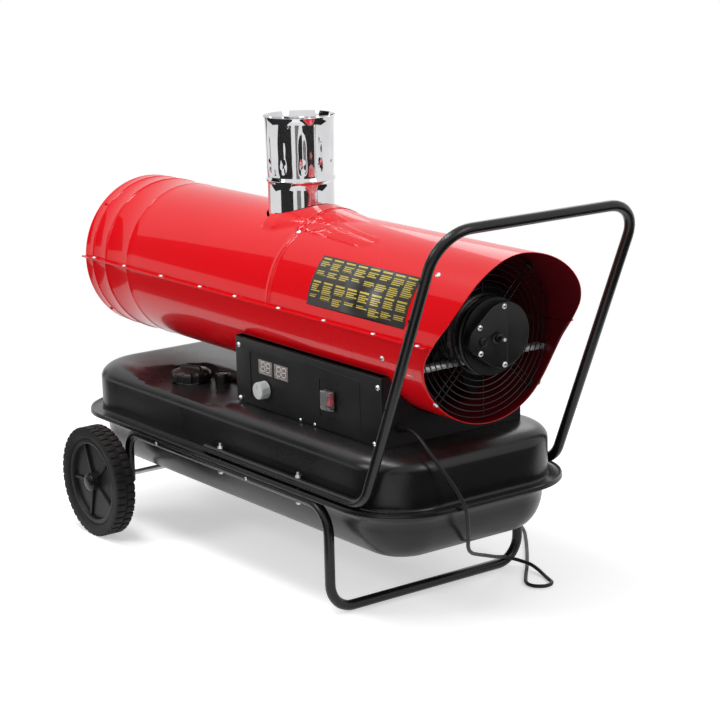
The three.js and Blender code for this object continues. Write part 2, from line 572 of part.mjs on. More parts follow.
// pressed ramp on the shell behind the flue, fading to a point toward the fan end
const SADDLE = { halfAngle: 34, rise: 15, length: 205, tipRise: 3 };
function saddleSolid(angles) {
  const on = (x, deg, r) => [x, r * Math.cos((deg * Math.PI) / 180), BARREL.z + r * Math.sin((deg * Math.PI) / 180)];
  const x0 = FLUE.x + 30;
  const x1 = x0 + SADDLE.length;
  const low = BARREL.r - 20;
  const pts = [on(x0, 90 - SADDLE.halfAngle, low), on(x0, 90 + SADDLE.halfAngle, low),
    ...[-1, -0.5, 0, 0.5, 1].map((u) => on(x0, 90 + u * SADDLE.halfAngle,
      BARREL.r - 3 + (SADDLE.rise + 3) * (1 - u * u))),
    on(x1, 90, low), on(x1, 84, low), on(x1, 96, low), on(x1, 90, BARREL.r + SADDLE.tipRise)];
  const core = (x) => [...angles.map((d) => on(x, d, BARREL.r - 0.8)), [x, -170, 300], [x, 170, 300]];
  let c = loft([core(-300), core(400)]);
  if (c.volume() < 0) c = loft([[...core(-300)].reverse(), [...core(400)].reverse()]);
  return Manifold.hull(pts).subtract(c);
}
function flue() {
  const { r, rim, z0, z1, wall, x } = FLUE;
  const at = [x, 0, 0];
  const beadZ = 825;
  add('flue', fromManifold(turned([[r, z0], [r, beadZ - 4], [r + 3, beadZ], [r, beadZ + 4], [r + 1, z1 - 30],
    [r + 1.5, z1 - 12], [rim, z1], [rim - wall, z1 + 0.2], [r + 1.5 - wall, z1 - 11], [r + 1 - wall, z1 - 30],
    [r - wall, beadZ + 4.5], [r + 3 - wall, beadZ], [r - wall, beadZ - 4.5], [r - wall, z0], [r, z0]],
    20, 'z', at)), STEEL);
}
function outletRing() {
  const R = BORE - GAP;
  add('outlet_ring', fromManifold(turned([[R - 1.6, -712], [R - 1.6, -664], [R, -664], [R, -712 + 2], [R, -717],
    [R - 26, -717], [R - 60, -700], [R - 62, -702], [R - 28, -719], [R - 1.6, -719], [R - 1.6, -712]].reverse(),
    24, 'x', [0, 0, BARREL.z])), RED);
}
const LABEL = { x0: 182, x1: 506, a0: 135.5, a1: 170, t: 0.5 };
function plateLabel() {
  const { x0, x1, a0, a1, t } = LABEL;
  const arc = (r, from, to) => steps(from, to, 8).map((a) => {
    const c = (a * Math.PI) / 180;
    return [r * Math.cos(c), r * Math.sin(c)];
  });
  const inner = BARREL.r + GAP;
  const section = [...arc(inner + t, a0, a1), ...arc(inner, a1, a0)];
  add('instruction_plate', fromManifold(plate(section, x1 - x0, 'yz', [x0, 0, BARREL.z])), PLASTIC);
}

// ---- burner --------------------------------------------------------------
const AIR_GAP = 50.5;            // fan air passes between chamber and shell
function burner() {
  const R = BARREL.r - AIR_GAP;
  const x0 = BARREL.x0 + 80;
  const x1 = x0 + 962;
  const at = [0, 0, BARREL.z];
  const drum = turned([[0, x0], [60, x0 + 6], [100, x0 + 26], [R, x0 + 70], [R, x1], [70, x1], [70, x1 - 2],
    [R - 2, x1 - 2], [R - 2, x0 + 71], [99, x0 + 28], [60, x0 + 8], [0, x0 + 2]], 18, 'x', at);
  const neckOut = rod(FLUE.r - FLUE.wall - GAP - 1.2, 0, BARREL.r - 2.5, 20, 'z', [FLUE.x, 0, BARREL.z]);
  const neckIn = rod(FLUE.r - FLUE.wall - 3.5, 0, BARREL.r + 20, 20, 'z', [FLUE.x, 0, BARREL.z]);
  const inner = turned([[0, x0 + 2], [60, x0 + 8], [99, x0 + 28], [R - 2, x0 + 71], [R - 2, x1 - 2], [0, x1 - 2]],
    18, 'x', at);
  const legY = R * 0.68;
  const drop = Math.sqrt((BORE - 2) ** 2 - (legY + 3) ** 2);
  const legs = [x0 + 100, x1 - 82].flatMap((x) => [-1, 1].map((s) =>
    box(x - 8, x + 8, s * legY - 3, s * legY + 3, BARREL.z - drop, BARREL.z - R * 0.7)));
  add('combustion_chamber', fromManifold(cut(union(drum, neckOut.subtract(inner)), neckIn.subtract(
    box(-900, 900, -300, 300, 0, BARREL.z + 100)))
    .add(union(...legs).subtract(rod(R - 1, -800, 800, 18, 'x', at)))), HEATSTEEL);
  add('flame_tube', fromManifold(turned([[66, -420], [66, x1 - 2 - GAP], [63.5, x1 - 2 - GAP], [63.5, -420],
    [66, -420]].reverse(), 18, 'x', at)), HEATSTEEL);
  const hx = x1 + GAP;
  const head = union(ring(28, 92, hx, hx + 2, 16, 'x', at), ring(54, 59, hx - 30, hx + 1, 12, 'x', at),
    ...[0, 120, 240].map((d) => box(hx, hx + 2, -3, 3, 14, 32).rotate([d, 0, 0]).translate(at)),
    ring(6.8, 16, hx, hx + 2, 10, 'x', at));
  const pinY = [33, 47];
  const pinZ = BARREL.z + 6;
  add('burner_head', fromManifold(cut(head, ...pinY.map((y) => rod(5, hx - 40, hx + 30, 8, 'x', [0, y, pinZ])))),
    ZINC);
  add('nozzle', fromManifold(turned([[0, hx - 16], [3, hx - 16], [6.2, hx - 9], [6.2, hx + 8], [11, hx + 8],
    [11, hx + 22], [3, hx + 24], [0, hx + 24]], 8, 'x', at)), BRASS);
  const pins = pinY.map((y) => union(rod(4.5, hx - 34, hx + 18, 6, 'x', [0, y, pinZ]),
    rod(1.2, hx - 48, hx - 30, 5, 'x', [0, y, pinZ])));
  add('electrodes', fromManifold(union(...pins, box(hx + 3, hx + 9, 26, 54, BARREL.z, BARREL.z + 12))), CERAMIC);
}

// ---- fan end -------------------------------------------------------------
const FAN = { x: 412, pitch: 28, sheet: 1.8, fitBore: 166.6 };
function fanEnd() {
  const at = [0, 0, BARREL.z];
  const bladeEdge = [[22, 24], [41, 70], [58, 120], [52, 158], [-16, 160], [-34, 120], [-31, 70], [-22, 24]];
  const scale = (BORE - 10) / FAN.fitBore;
  const blade = plate(bladeEdge.map(([u, v]) => [u, v > 24 ? v * scale : v]), FAN.sheet, 'yz', [0, 0, 0])
    .rotate([0, 0, FAN.pitch]);
  const blades = [...Array(5)].map((_, i) => blade.rotate([i * 72, 0, 0]).translate([FAN.x, 0, BARREL.z]));
  const hub = turned([[5.4, 394], [20, 394], [30, 400], [32, 432], [12, 434], [5.4, 434], [5.4, 394]], 12, 'x', at);
  const fan = cut(union(hub, ...blades), rod(5.4, 300, 500, 10, 'x', at));
  add('fan', fromManifold(fan), SATIN);
  add('motor_shaft', fromManifold(turned([[0, 388], [5.2, 389], [5.2, 560], [4, 562], [0, 562]], 10, 'x', at)), STEEL);
  const { r, x0, x1 } = MOTOR;
  const motor = turned([[5.8, x0 - 8], [16, x0 - 8], [18, x0], [r - 8, x0], [r, x0 + 8], [r, x1 - 8], [r - 6, x1],
    [18, x1], [5.8, x1], [5.8, x0 - 8]], 18, 'x', at);
  add('motor', fromManifold(motor), ALU);
  const strapZ = BARREL.z - 50;
  const reach = Math.sqrt((BORE - 1) ** 2 - 50 ** 2);
  const clamp = ring(r + GAP, r + 2.5, 500, 526, 18, 'x', at);
  const wings = [-1, 1].map((s) => {
    const [ya, yb] = [42 * s, reach * s].sort((a, b) => a - b);
    return box(502, 524, ya, yb, strapZ, strapZ + 2.5);
  });
  const feet = [-1, 1].map((s) => {
    const [ya, yb] = [(reach - 2) * s, reach * s].sort((a, b) => a - b);
    return box(502, 524, ya, yb, strapZ - 12, strapZ + 2.5);
  });
  add('motor_bracket', fromManifold(cut(union(clamp, ...wings, ...feet), rod(r + GAP, 490, 530, 18, 'x', at),
    ring(BARREL.r - BARREL.sheet - 1.5, 300, 400, 600, 24, 'x', at))), ZINC);
  const px = x1 + GAP;
  const body = ring(5.8, 79, px, px + 20, 18, 'x', at);
  const pocket = ring(5.7, 34, px + 6, px + 21, 16, 'x', [0, 0, BARREL.z]);
  add('pump_body', fromManifold(body.subtract(pocket).add(ring(28, 34.4, px + 5, px + 20, 16, 'x', at))
    .add(ring(5.8, 12, px + 2, px + 12, 10, 'x', at))), ALU);
  const cx = px + 20 + GAP;
  const turn = 127.6;
  const outline = [...steps(-turn, turn, 16).map((d) => [13, 4, 67, d]),
    ...steps(turn + 4, 360 - turn - 4, 8).map((d) => [-46, 2, 31, d])]
    .map(([u, v, r, d]) => [u + r * Math.cos((d * Math.PI) / 180), v + r * Math.sin((d * Math.PI) / 180)]);
  const moved = loft([cx, cx + 15, cx + 18].map((x, i) => outline.map(([u, v]) =>
    [x, (i === 2 ? 0.97 : 1) * u, BARREL.z + (i === 2 ? 0.97 : 1) * v])));
  const boss = union(rod(9, cx + 17, cx + 26, 14, 'x', [0, -8, BARREL.z + 2]),
    rod(5, cx + 25, cx + 36, 12, 'x', [0, -8, BARREL.z + 2]),
    rod(8, cx + 17, cx + 20, 14, 'x', [0, -44, BARREL.z - 2]));
  add('pump_cover', fromManifold(union(moved, boss)), PLASTIC);
  guard();
}
const RING_R = BORE - 8.6;          // outer wire of the guard
function guard() {
  const at = [0, 0, BARREL.z];
  const rings = [RING_R, RING_R - 40, RING_R - 80].map((r) =>
    turned([[r, GUARD_X - 1.8], [r + 1.8, GUARD_X], [r, GUARD_X + 1.8], [r - 1.8, GUARD_X], [r, GUARD_X - 1.8]],
      18, 'x', at));
  const spokes = [];
  for (let i = 0; i < 4; i += 1) {
    const s = box(GUARD_X - 1.5, GUARD_X + 1.5, -1.5, 1.5, RING_R - 82, RING_R + 2).rotate([45 + i * 90, 0, 0]).translate(at);
    spokes.push(s);
  }
  const lugs = [45, 135, 225, 315].map((d) =>
    box(GUARD_X - 6, GUARD_X + 3, -6, 6, RING_R, BORE - GAP).rotate([d, 0, 0]).translate(at));
  add('fan_guard', fromManifold(union(...rings, ...spokes, ...lugs)), BLACK);
}

// ---- control box ---------------------------------------------------------
function controlBox() {
  const { x0, x1, y, z1, sheet: t } = BOX;
  const z0 = BOX_Z0;
  const yF = -y + 3;
  const seat = rod(BARREL.r + GAP + 2.4, -900, 900, 48, 'x', [0, 0, BARREL.z]);
  const body = cut(box(x0, x1, yF, y, z0, z1), box(x0 + t, x1 - t, yF - 5, y - t, z0 + t, z1 - t), seat,
    rod(8.2, -20, 20, 10, 'x', [x1, GLAND.y, GLAND.z]),
    rod(3.4, -20, 20, 10, 'x', [x0, 30, 388]), rod(4.4, -20, 20, 12, 'x', [x1, 60, 392]));
  const ledge = union(box(x0 + t - 0.5, x1 - t + 0.5, yF, yF + 12, z0, z0 + t), body);
  add('control_box', fromManifold(ledge), SATIN);
}
const PANEL_Y = -BOX.y;
const ROCKER_TIP = 7;
function panel() {
  const { x0, x1, z1 } = BOX;
  const [za, zb] = [BOX_Z0 + 1, z1 - 2];
  const back = PANEL_Y + 3 - GAP;
  const base = box(x0, x1, PANEL_Y, back, za, zb);
  const win = (xa, xb, zc, zd, depth) => box(xa, xb, PANEL_Y - 5, PANEL_Y + depth, zc, zd);
  add('control_panel', fromManifold(cut(base,
    win(-29, 139, 376, 478, 1), win(224, 295, 388, 462, 1),
    box(2, 53, -200, -150, 433.5, 465.5), box(60, 111, -200, -150, 433.5, 465.5),
    rod(4.4, -30, 30, 12, 'y', [28, PANEL_Y, 403]),
    box(247, 277, -200, -150, 407, 444))), SATIN);
  [['left', 2.3, 52.7], ['right', 60.3, 110.7]].forEach(([n, xa, xb]) => {
    add(`display_${n}`, fromManifold(box(xa, xb, PANEL_Y + 0.2, PANEL_Y + 14, 433.8, 465.2)), GREY);
  });
  // thermostat with its spindle and knob
  const k = [28, 0, 403];
  const yk = PANEL_Y;
  add('thermostat', fromManifold(union(box(12, 44, yk + 3.2, yk + 26, 388, 418),
    box(8, 48, yk + 26 - 0.5, yk + 34, 396, 410))), PLASTIC);
  const knob = turned([[0, 20], [16, 20], [18.3, 17.5], [18.6, 1.3], [12, 1.3], [12, 8], [0, 8]], 16, '-y',
    [k[0], yk + 1, k[2]]);
  const spindle = rod(3, -1.9, 10, 8, '-y', [k[0], yk + 1, k[2]]);
  add('thermostat_knob', fromManifold(union(knob, spindle)), PALE);
  // rocker switch: frame, rocker and clear shield
  const [rx, rz] = [262, 425.5];
  const frame = cut(union(box(rx - 14.7, rx + 14.7, yk - 0.7 + 0, yk + 16, rz - 18.2, rz + 18.2),
    box(rx - 17.5, rx + 17.5, yk - 2.4, yk + 0.7, rz - 21, rz + 21)),
  box(rx - 11, rx + 11, yk - 9, yk + 12, rz - 15, rz + 15),
  rod(1.7, -13, 13, 10, 'x', [rx, yk + 5, rz]));
  add('rocker_frame', fromManifold(frame), PLASTIC);
  const prof = [[-13.4, 4], [13.4, 4], [13.4, -8], [0, -4], [-13.4, -8]];
  const secs = [-10, 10].map((x) => prof.map(([z, yy]) => [rx + x, yk + 4 + yy * 0.9, rz + z]));
  let rk = loft(secs);
  if (rk.volume() < 0) rk = loft(secs.map((q) => [...q].reverse()));
  const tipped = union(rk, rod(1.5, -12.6, 12.6, 10, 'x', [rx, yk + 5, rz]))
    .translate([-rx, -yk - 5, -rz]).rotate([-ROCKER_TIP, 0, 0]).translate([rx, yk + 5, rz]);
  add('rocker', fromManifold(tipped), SWITCHRED);
  const sh = cut(box(rx - 16.5, rx + 16.5, yk - 15, yk - 2.4 - GAP, rz - 20, rz + 20),
    box(rx - 15, rx + 15, yk - 13.5, yk, rz - 18.5, rz + 18.5));
  add('rocker_shield', fromManifold(sh), mat(0xe6e2e0, 0.2, 0));
}
function electrics() {
  const z0 = BOX_Z0 + BOX.sheet + GAP;
  add('circuit_board', fromManifold(union(box(150, 310, -120, -40, z0 + 8, z0 + 10),
    ...[[158, -112], [302, -112], [158, -48], [302, -48]].map(([x, y]) => rod(3, z0, z0 + 9, 6, 'z', [x, y, 0])),
    box(170, 200, -105, -80, z0 + 9, z0 + 26), box(215, 240, -100, -70, z0 + 9, z0 + 22),
    box(255, 290, -110, -95, z0 + 9, z0 + 18))), GREEN);
  add('ignition_transformer', fromManifold(union(box(-40, 50, 60, 140, z0, z0 + 22),
    rod(5, z0 + 20, z0 + 28, 12, 'z', [-20, 100, 0]), rod(5, z0 + 20, z0 + 28, 12, 'z', [30, 100, 0]))), BLACK);
  const gx = BOX.x1;
  const at = [0, GLAND.y, GLAND.z];
  add('cord_gland', fromManifold(union(rod(7.6, gx - 10, gx + 2, 10, 'x', at),
    rod(11, gx + GAP, gx + 5, 12, 'x', at),
    turned([[0, gx + 4], [9, gx + 4], [6, gx + GLAND.length], [0, gx + GLAND.length]], 12, 'x', at))), PLASTIC);
}
function lines() {
  const px = -250 + 12 + GAP;
  const line = sweepTube(bentPath([[px, 20, 388], [-150, 20, 388, 12], [-150, 30, 388, 4], [BOX.x0 + 20, 30, 388]], 3),
    3, 0, 8);
  add('fuel_line', fromManifold(line), PLASTIC);
}

// ---- cord ----------------------------------------------------------------
function cordTube() {
  const [cx, cy] = [COIL.x + CORD_D + GAP, COIL.y + coilEdge];
  const route = new THREE.CatmullRomCurve3([...CORD_ROUTE, [cx + 12, cy, FLOOR], [cx, cy, FLOOR]]
    .map((p) => new THREE.Vector3(...p)));
  const section = new THREE.Shape([...Array(8)].map((_, i) => {
    const a = (i * Math.PI) / 4;
    return new THREE.Vector2((CORD_D / 2) * Math.cos(a), (CORD_D / 2) * Math.sin(a));
  }));
  const tube = new THREE.ExtrudeGeometry(section, { steps: 64, extrudePath: route, bevelEnabled: false });
  console.log('free cord length', Math.round(route.getLength()), 'mm');
  add('cord', fromManifold(toManifold(tube)), RUBBER);
}
const coilEdge = COIL.r + (COIL.pitch * COIL.layerTurns) / 2;
function coilPath() {
  // spiral in on the floor, climb a layer in half a turn, spiral out on top
  const { x, y, layerTurns, pitch, leadOut } = COIL;
  const total = 2 * layerTurns + 0.5;
  const pts = [new THREE.Vector3(x + CORD_D, y + coilEdge, FLOOR)];
  for (let i = 0; i <= total * 24; i += 1) {
    const t = i / 24;
    const climb = Math.min(Math.max((t - layerTurns) / 0.5, 0), 1);
    const inner = coilEdge - pitch * layerTurns;
    let r = coilEdge - pitch * t;
    if (climb > 0) r = inner - pitch * 0.5 * Math.min(climb, 1 - climb);
    if (t > layerTurns + 0.5) r = inner + pitch * (t - layerTurns - 0.5);
    const a = Math.PI / 2 + t * 2 * Math.PI;
    const z = FLOOR + pitch * climb * climb * (3 - 2 * climb);
    pts.push(new THREE.Vector3(x + r * Math.cos(a), y + r * Math.sin(a), z));
  }
  const last = pts[pts.length - 1];
  pts.push(new THREE.Vector3(x + leadOut / 2, last.y, last.z), new THREE.Vector3(x + leadOut, last.y, last.z));
  return pts;
}
// least clear distance of a wound tube to itself, between points over a third of a turn apart
function leastGap(pts, skip) {
  let least = Infinity;
  const dense = new THREE.CatmullRomCurve3(pts).getPoints(pts.length * 3);
  for (let i = 0; i < dense.length; i += 1) {
    for (let j = i + skip; j < dense.length; j += 1) least = Math.min(least, dense[i].distanceTo(dense[j]));
  }
  return least - CORD_D;
}
function coil() {
  const pts = coilPath();
  const length = pts.slice(1).reduce((sum, p, i) => sum + p.distanceTo(pts[i]), 0);
  console.log('coil length', Math.round(length), 'mm, least gap', leastGap(pts, 24).toFixed(2), 'mm');
  add('cord_coil', fromManifold(sweepTube(pts, CORD_D / 2, 0, 6)), RUBBER);
  plug(pts[pts.length - 1]);
}
function plug(end) {
  const x = end.x + GAP;
  const half = end.z - 0.2;
  const ringAt = (dx, w, h) => [[dx, -w, -h], [dx, w, -h], [dx, w, h * 0.6], [dx, w * 0.6, h],
    [dx, -w * 0.6, h], [dx, -w, h * 0.6]].map(([a, b, c]) => [x + a, end.y + b, end.z + c]);
  const body = loft([ringAt(0, 5.5, 5.5), ringAt(14, 7, 7), ringAt(20, 13, half), ringAt(38, 14, half),
    ringAt(40, 12.5, half - 1)]);
  const blade = (y) => box(x + 39, x + 57, y - 0.8, y + 0.8, end.z - 2, end.z + 4.3);
  add('plug', fromManifold(union(body, blade(end.y - 6.35), blade(end.y + 6.35),
    rod(2.4, x + 39, x + 59, 8, 'x', [0, end.y, end.z - 6]))), PLASTIC);
}

tankParts();
function tankParts() {
  add('tank_upper', fromManifold(tankUpper()), SATIN);
  add('tank_lower', fromManifold(tankLower()), SATIN);
  fillerParts();
  floatArm();
  pickup();
}
frames();
clampBolts();
function axle() {
  const L = WHEEL_Y + 20;
  add('axle', fromManifold(turned([[0, -L], [AXLE_D / 2 - 1, -L], [AXLE_D / 2, -L + 1], [AXLE_D / 2, L - 1],
    [AXLE_D / 2 - 1, L], [0, L]], 20, 'y', [AXLE_X, 0, AXLE_Z])), ZINC);
}
axle();
wheel('near');
wheel('far');
barrel();
flue();
outletRing();
plateLabel();
burner();
fanEnd();
controlBox();
panel();
electrics();
lines();
cordTube();
coil();

export default group;
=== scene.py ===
# %% [markdown]
# # A forced air heater
# The real object burns fuel in a closed chamber, and a fan blows room air round that chamber
# and out of the front of the red barrel. The smoke leaves by the polished flue. The barrel
# sits on a black control box, and the box on a pressed fuel tank with two wheels and a foot.
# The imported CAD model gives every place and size, so this script only dresses it.

# %% Load the frame
import json
import math
import bmesh
import bpy
from mathutils import Matrix, Vector


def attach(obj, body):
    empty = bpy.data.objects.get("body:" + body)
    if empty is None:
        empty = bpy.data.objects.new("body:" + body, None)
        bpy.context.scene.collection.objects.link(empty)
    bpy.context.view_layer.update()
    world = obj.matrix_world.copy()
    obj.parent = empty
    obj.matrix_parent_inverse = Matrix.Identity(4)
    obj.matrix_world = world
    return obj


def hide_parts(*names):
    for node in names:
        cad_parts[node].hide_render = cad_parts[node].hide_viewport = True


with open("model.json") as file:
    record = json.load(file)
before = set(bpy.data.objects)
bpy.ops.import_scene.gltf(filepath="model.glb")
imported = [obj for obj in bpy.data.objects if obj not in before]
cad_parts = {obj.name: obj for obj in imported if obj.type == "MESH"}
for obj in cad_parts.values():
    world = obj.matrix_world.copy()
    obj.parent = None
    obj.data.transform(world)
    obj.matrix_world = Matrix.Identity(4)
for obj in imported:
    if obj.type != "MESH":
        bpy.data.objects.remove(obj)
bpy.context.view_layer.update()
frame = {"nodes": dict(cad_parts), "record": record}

scene = bpy.context.scene
print("nodes in the frame:", len(frame["nodes"]))

# %% [markdown]
# ## Camera
# A long lens stands well back, a little above the control panel and toward the fan end. The
# place, the lens and the small roll were fitted to the wheel, the flue and the handle.

# %% Camera
AIM, RISE, ROLL = math.radians(53.5), math.radians(13.63), math.radians(-1.4)
back = Vector((math.sin(AIM) * math.cos(RISE), -math.cos(AIM) * math.cos(RISE), math.sin(RISE)))
right = Vector((math.cos(AIM), math.sin(AIM), 0))
up = back.cross(right)
right_r = right * math.cos(ROLL) + up * math.sin(ROLL)
up_r = up * math.cos(ROLL) - right * math.sin(ROLL)
camera = bpy.data.objects.new("camera", bpy.data.cameras.new("camera"))
camera.data.lens = 107.5
camera.data.sensor_width = 36
camera.data.clip_end = 100
turn = Matrix((right_r, up_r, back)).transposed().to_4x4()
camera.matrix_world = Matrix.Translation((3.7036, -2.6494, 1.5350)) @ turn
scene.collection.objects.link(camera)
scene.camera = camera
scene.view_settings.view_transform = "Standard"
print("camera at", tuple(round(v, 3) for v in camera.location))

# %% [markdown]
# ## Floor, background and soft light
# Real product shots use a white sweep and big soft boxes. Here the floor is one pale sheet,
# and the world is white for the camera and for mirrors, but dim as a lamp. Three large area
# lamps shape the object. Dark cards, seen only in reflections, put the dark bands into the
# polished flue and the gloss paint that a studio's unlit walls would.

# %% Floor and world
def node_material(name):
    material = bpy.data.materials.new(name)
    material.use_nodes = True
    return material, material.node_tree.nodes, material.node_tree.links


def white_floor():
    material, nodes, links = node_material("white_floor")
    shader = nodes["Principled BSDF"]
    shader.inputs["Base Color"].default_value = (0.86, 0.86, 0.86, 1)
    shader.inputs["Roughness"].default_value = 0.9
    shader.inputs["Specular IOR Level"].default_value = 0.1
    rays = nodes.new("ShaderNodeLightPath")
    seen = nodes.new("ShaderNodeMath")
    seen.operation = "MAXIMUM"
    lift = nodes.new("ShaderNodeMath")
    lift.operation = "MULTIPLY"
    lift.inputs[1].default_value = FLOOR_LIFT
    links.new(rays.outputs["Is Camera Ray"], seen.inputs[0])
    links.new(rays.outputs["Is Glossy Ray"], seen.inputs[1])
    links.new(seen.outputs[0], lift.inputs[0])
    shader.inputs["Emission Color"].default_value = (1, 1, 1, 1)
    links.new(lift.outputs[0], shader.inputs["Emission Strength"])
    glow = nodes.new("ShaderNodeEmission")
    far = nodes.new("ShaderNodeVectorMath")
    far.operation = "LENGTH"
    links.new(nodes.new("ShaderNodeTexCoord").outputs["Object"], far.inputs[0])
    fade = nodes.new("ShaderNodeMapRange")
    fade.inputs["From Min"].default_value = 0.9
    fade.inputs["From Max"].default_value = 2.0
    links.new(far.outputs["Value"], fade.inputs["Value"])
    share = nodes.new("ShaderNodeMath")
    share.operation = "MULTIPLY"
    links.new(fade.outputs["Result"], share.inputs[0])
    links.new(seen.outputs[0], share.inputs[1])
    sweep = nodes.new("ShaderNodeMixShader")
    links.new(share.outputs[0], sweep.inputs[0])
    links.new(shader.outputs[0], sweep.inputs[1])
    links.new(glow.outputs[0], sweep.inputs[2])
    links.new(sweep.outputs[0], nodes["Material Output"].inputs["Surface"])
    return material


FLOOR_LIFT = 0.46
floor_bm = bmesh.new()
bmesh.ops.create_grid(floor_bm, x_segments=2, y_segments=2, size=14)
floor_mesh = bpy.data.meshes.new("floor")
floor_bm.to_mesh(floor_mesh)
floor_bm.free()
floor = bpy.data.objects.new("floor", floor_mesh)
floor.location.z = -0.0005
floor_mesh.materials.append(white_floor())
scene.collection.objects.link(floor)

world = bpy.data.worlds.new("studio")
scene.world = world
world.use_nodes = True
sky, sky_links = world.node_tree.nodes, world.node_tree.links
lamp_sky = sky["Background"]
lamp_sky.inputs["Color"].default_value = (1, 1, 1, 1)
lamp_sky.inputs["Strength"].default_value = 0.42
seen_sky = sky.new("ShaderNodeBackground")
seen_sky.inputs["Color"].default_value = (1, 1, 1, 1)
rays = sky.new("ShaderNodeLightPath")
direct = sky.new("ShaderNodeMath")
direct.operation = "MAXIMUM"
either = sky.new("ShaderNodeMath")
either.operation = "MAXIMUM"
choose = sky.new("ShaderNodeMixShader")
sky_links.new(rays.outputs["Is Camera Ray"], direct.inputs[0])
sky_links.new(rays.outputs["Is Transmission Ray"], direct.inputs[1])
sky_links.new(direct.outputs[0], either.inputs[0])
sky_links.new(rays.outputs["Is Glossy Ray"], either.inputs[1])
sky_links.new(either.outputs[0], choose.inputs[0])
sky_links.new(lamp_sky.outputs[0], choose.inputs[1])
sky_links.new(seen_sky.outputs[0], choose.inputs[2])
sky_links.new(choose.outputs[0], sky["World Output"].inputs["Surface"])

# %% Lamps and dark cards
def lamp(name, place, aim, size, watts):
    data = bpy.data.lights.new(name, "AREA")
    data.shape = "RECTANGLE"
    data.size, data.size_y = size
    data.energy = watts
    obj = bpy.data.objects.new(name, data)
    obj.location = place
    obj.rotation_euler = (Vector(aim) - Vector(place)).to_track_quat("-Z", "Y").to_euler()
    scene.collection.objects.link(obj)
    return obj


lamp("overhead_strip", (-0.2, -0.9, 2.9), (0, 0, 0.5), (3.2, 0.45), 46)
lamp("side_box", (-1.2, -3.4, 2.6), (-0.2, 0, 0.5), (1.6, 1.0), 44)
lamp("fan_box", (3.2, 0.6, 2.4), (0.3, 0, 0.5), (1.2, 1.6), 26)
lamp("far_box", (-2.0, 2.6, 2.6), (0, 0, 0.5), (2.0, 2.0), 24)


def card(name, place, aim, size, shade=0.02):
    data = bpy.data.meshes.new(name)
    card_bm = bmesh.new()
    bmesh.ops.create_grid(card_bm, x_segments=1, y_segments=1, size=0.5)
    bmesh.ops.scale(card_bm, vec=(size[0], size[1], 1), verts=card_bm.verts)
    card_bm.to_mesh(data)
    card_bm.free()
    obj = bpy.data.objects.new(name, data)
    obj.location = place
    obj.rotation_euler = (Vector(aim) - Vector(place)).to_track_quat("Z", "Y").to_euler()
    material, nodes, links = node_material(name)
    nodes["Principled BSDF"].inputs["Base Color"].default_value = (shade, shade, shade, 1)
    nodes["Principled BSDF"].inputs["Specular IOR Level"].default_value = 0
    data.materials.append(material)
    obj.visible_camera = False
    obj.visible_diffuse = False
    obj.visible_shadow = False
    scene.collection.objects.link(obj)


for name, polar, wide, z, tall, shade in (
        ("dark_card_left", -86, 2.5, 0.35, 1.3, 0.04), ("dark_card_mid", -43, 0.7, 0.35, 1.3, 0.25),
        ("dark_card_fan", -6, 2.1, 0.35, 1.3, 0.04), ("dark_card_edge", -176, 0.6, 0.35, 1.3, 0.20)):
    a = math.radians(polar)
    card(name, (-0.076 + 2.9 * math.cos(a), 2.9 * math.sin(a), z), (-0.076, 0, 0.9), (wide, tall), shade)
card("dark_card_side", (-2.6, -2.2, 2.0), (-2.6, 0, 2.0), (3.7, 2.5), 0.02)
card("dark_card_floor", (-1.1, -1.75, 0.006), (-1.1, -1.75, 1.0), (3.4, 2.3), 0.03)
card("dark_card_floor_rear", (1.9, 1.0, 0.006), (1.9, 1.0, 1.0), (1.9, 3.4), 0.03)

# %% [markdown]
# ## Finishes
# Every finish starts from the same recipe: a colour that drifts a little, a roughness that
# drifts with it, and a fine bump. Three node groups carry what the materials share. Drift
# gives slow cloudy change, grain gives the fine texture of powder coat or moulded plastic,
# and dust settles a pale film on faces that look up. The shader stays in each material.

# %% Shared node groups
def group(name, inputs, outputs):
    tree = bpy.data.node_groups.new(name, "ShaderNodeTree")
    for label, kind, value in inputs:
        socket = tree.interface.new_socket(label, in_out="INPUT", socket_type=kind)
        socket.default_value = value
    for label, kind in outputs:
        tree.interface.new_socket(label, in_out="OUTPUT", socket_type=kind)
    return tree, tree.nodes.new("NodeGroupInput"), tree.nodes.new("NodeGroupOutput")


def noise(nodes, links, coords, scale=None, scale_from=None, detail=3.0):
    texture = nodes.new("ShaderNodeTexNoise")
    texture.inputs["Detail"].default_value = detail
    if scale is not None:
        texture.inputs["Scale"].default_value = scale
    if scale_from is not None:
        links.new(scale_from, texture.inputs["Scale"])
    links.new(coords, texture.inputs["Vector"])
    return texture.outputs["Fac"]


def between(nodes, links, value, low, high, clamp=True):
    remap = nodes.new("ShaderNodeMapRange")
    remap.clamp = clamp
    remap.inputs["From Min"].default_value = 0.3
    remap.inputs["From Max"].default_value = 0.7
    links.new(value, remap.inputs["Value"])
    for socket, end in (("To Min", low), ("To Max", high)):
        if isinstance(end, (int, float)):
            remap.inputs[socket].default_value = end
        else:
            links.new(end, remap.inputs[socket])
    return remap.outputs["Result"]


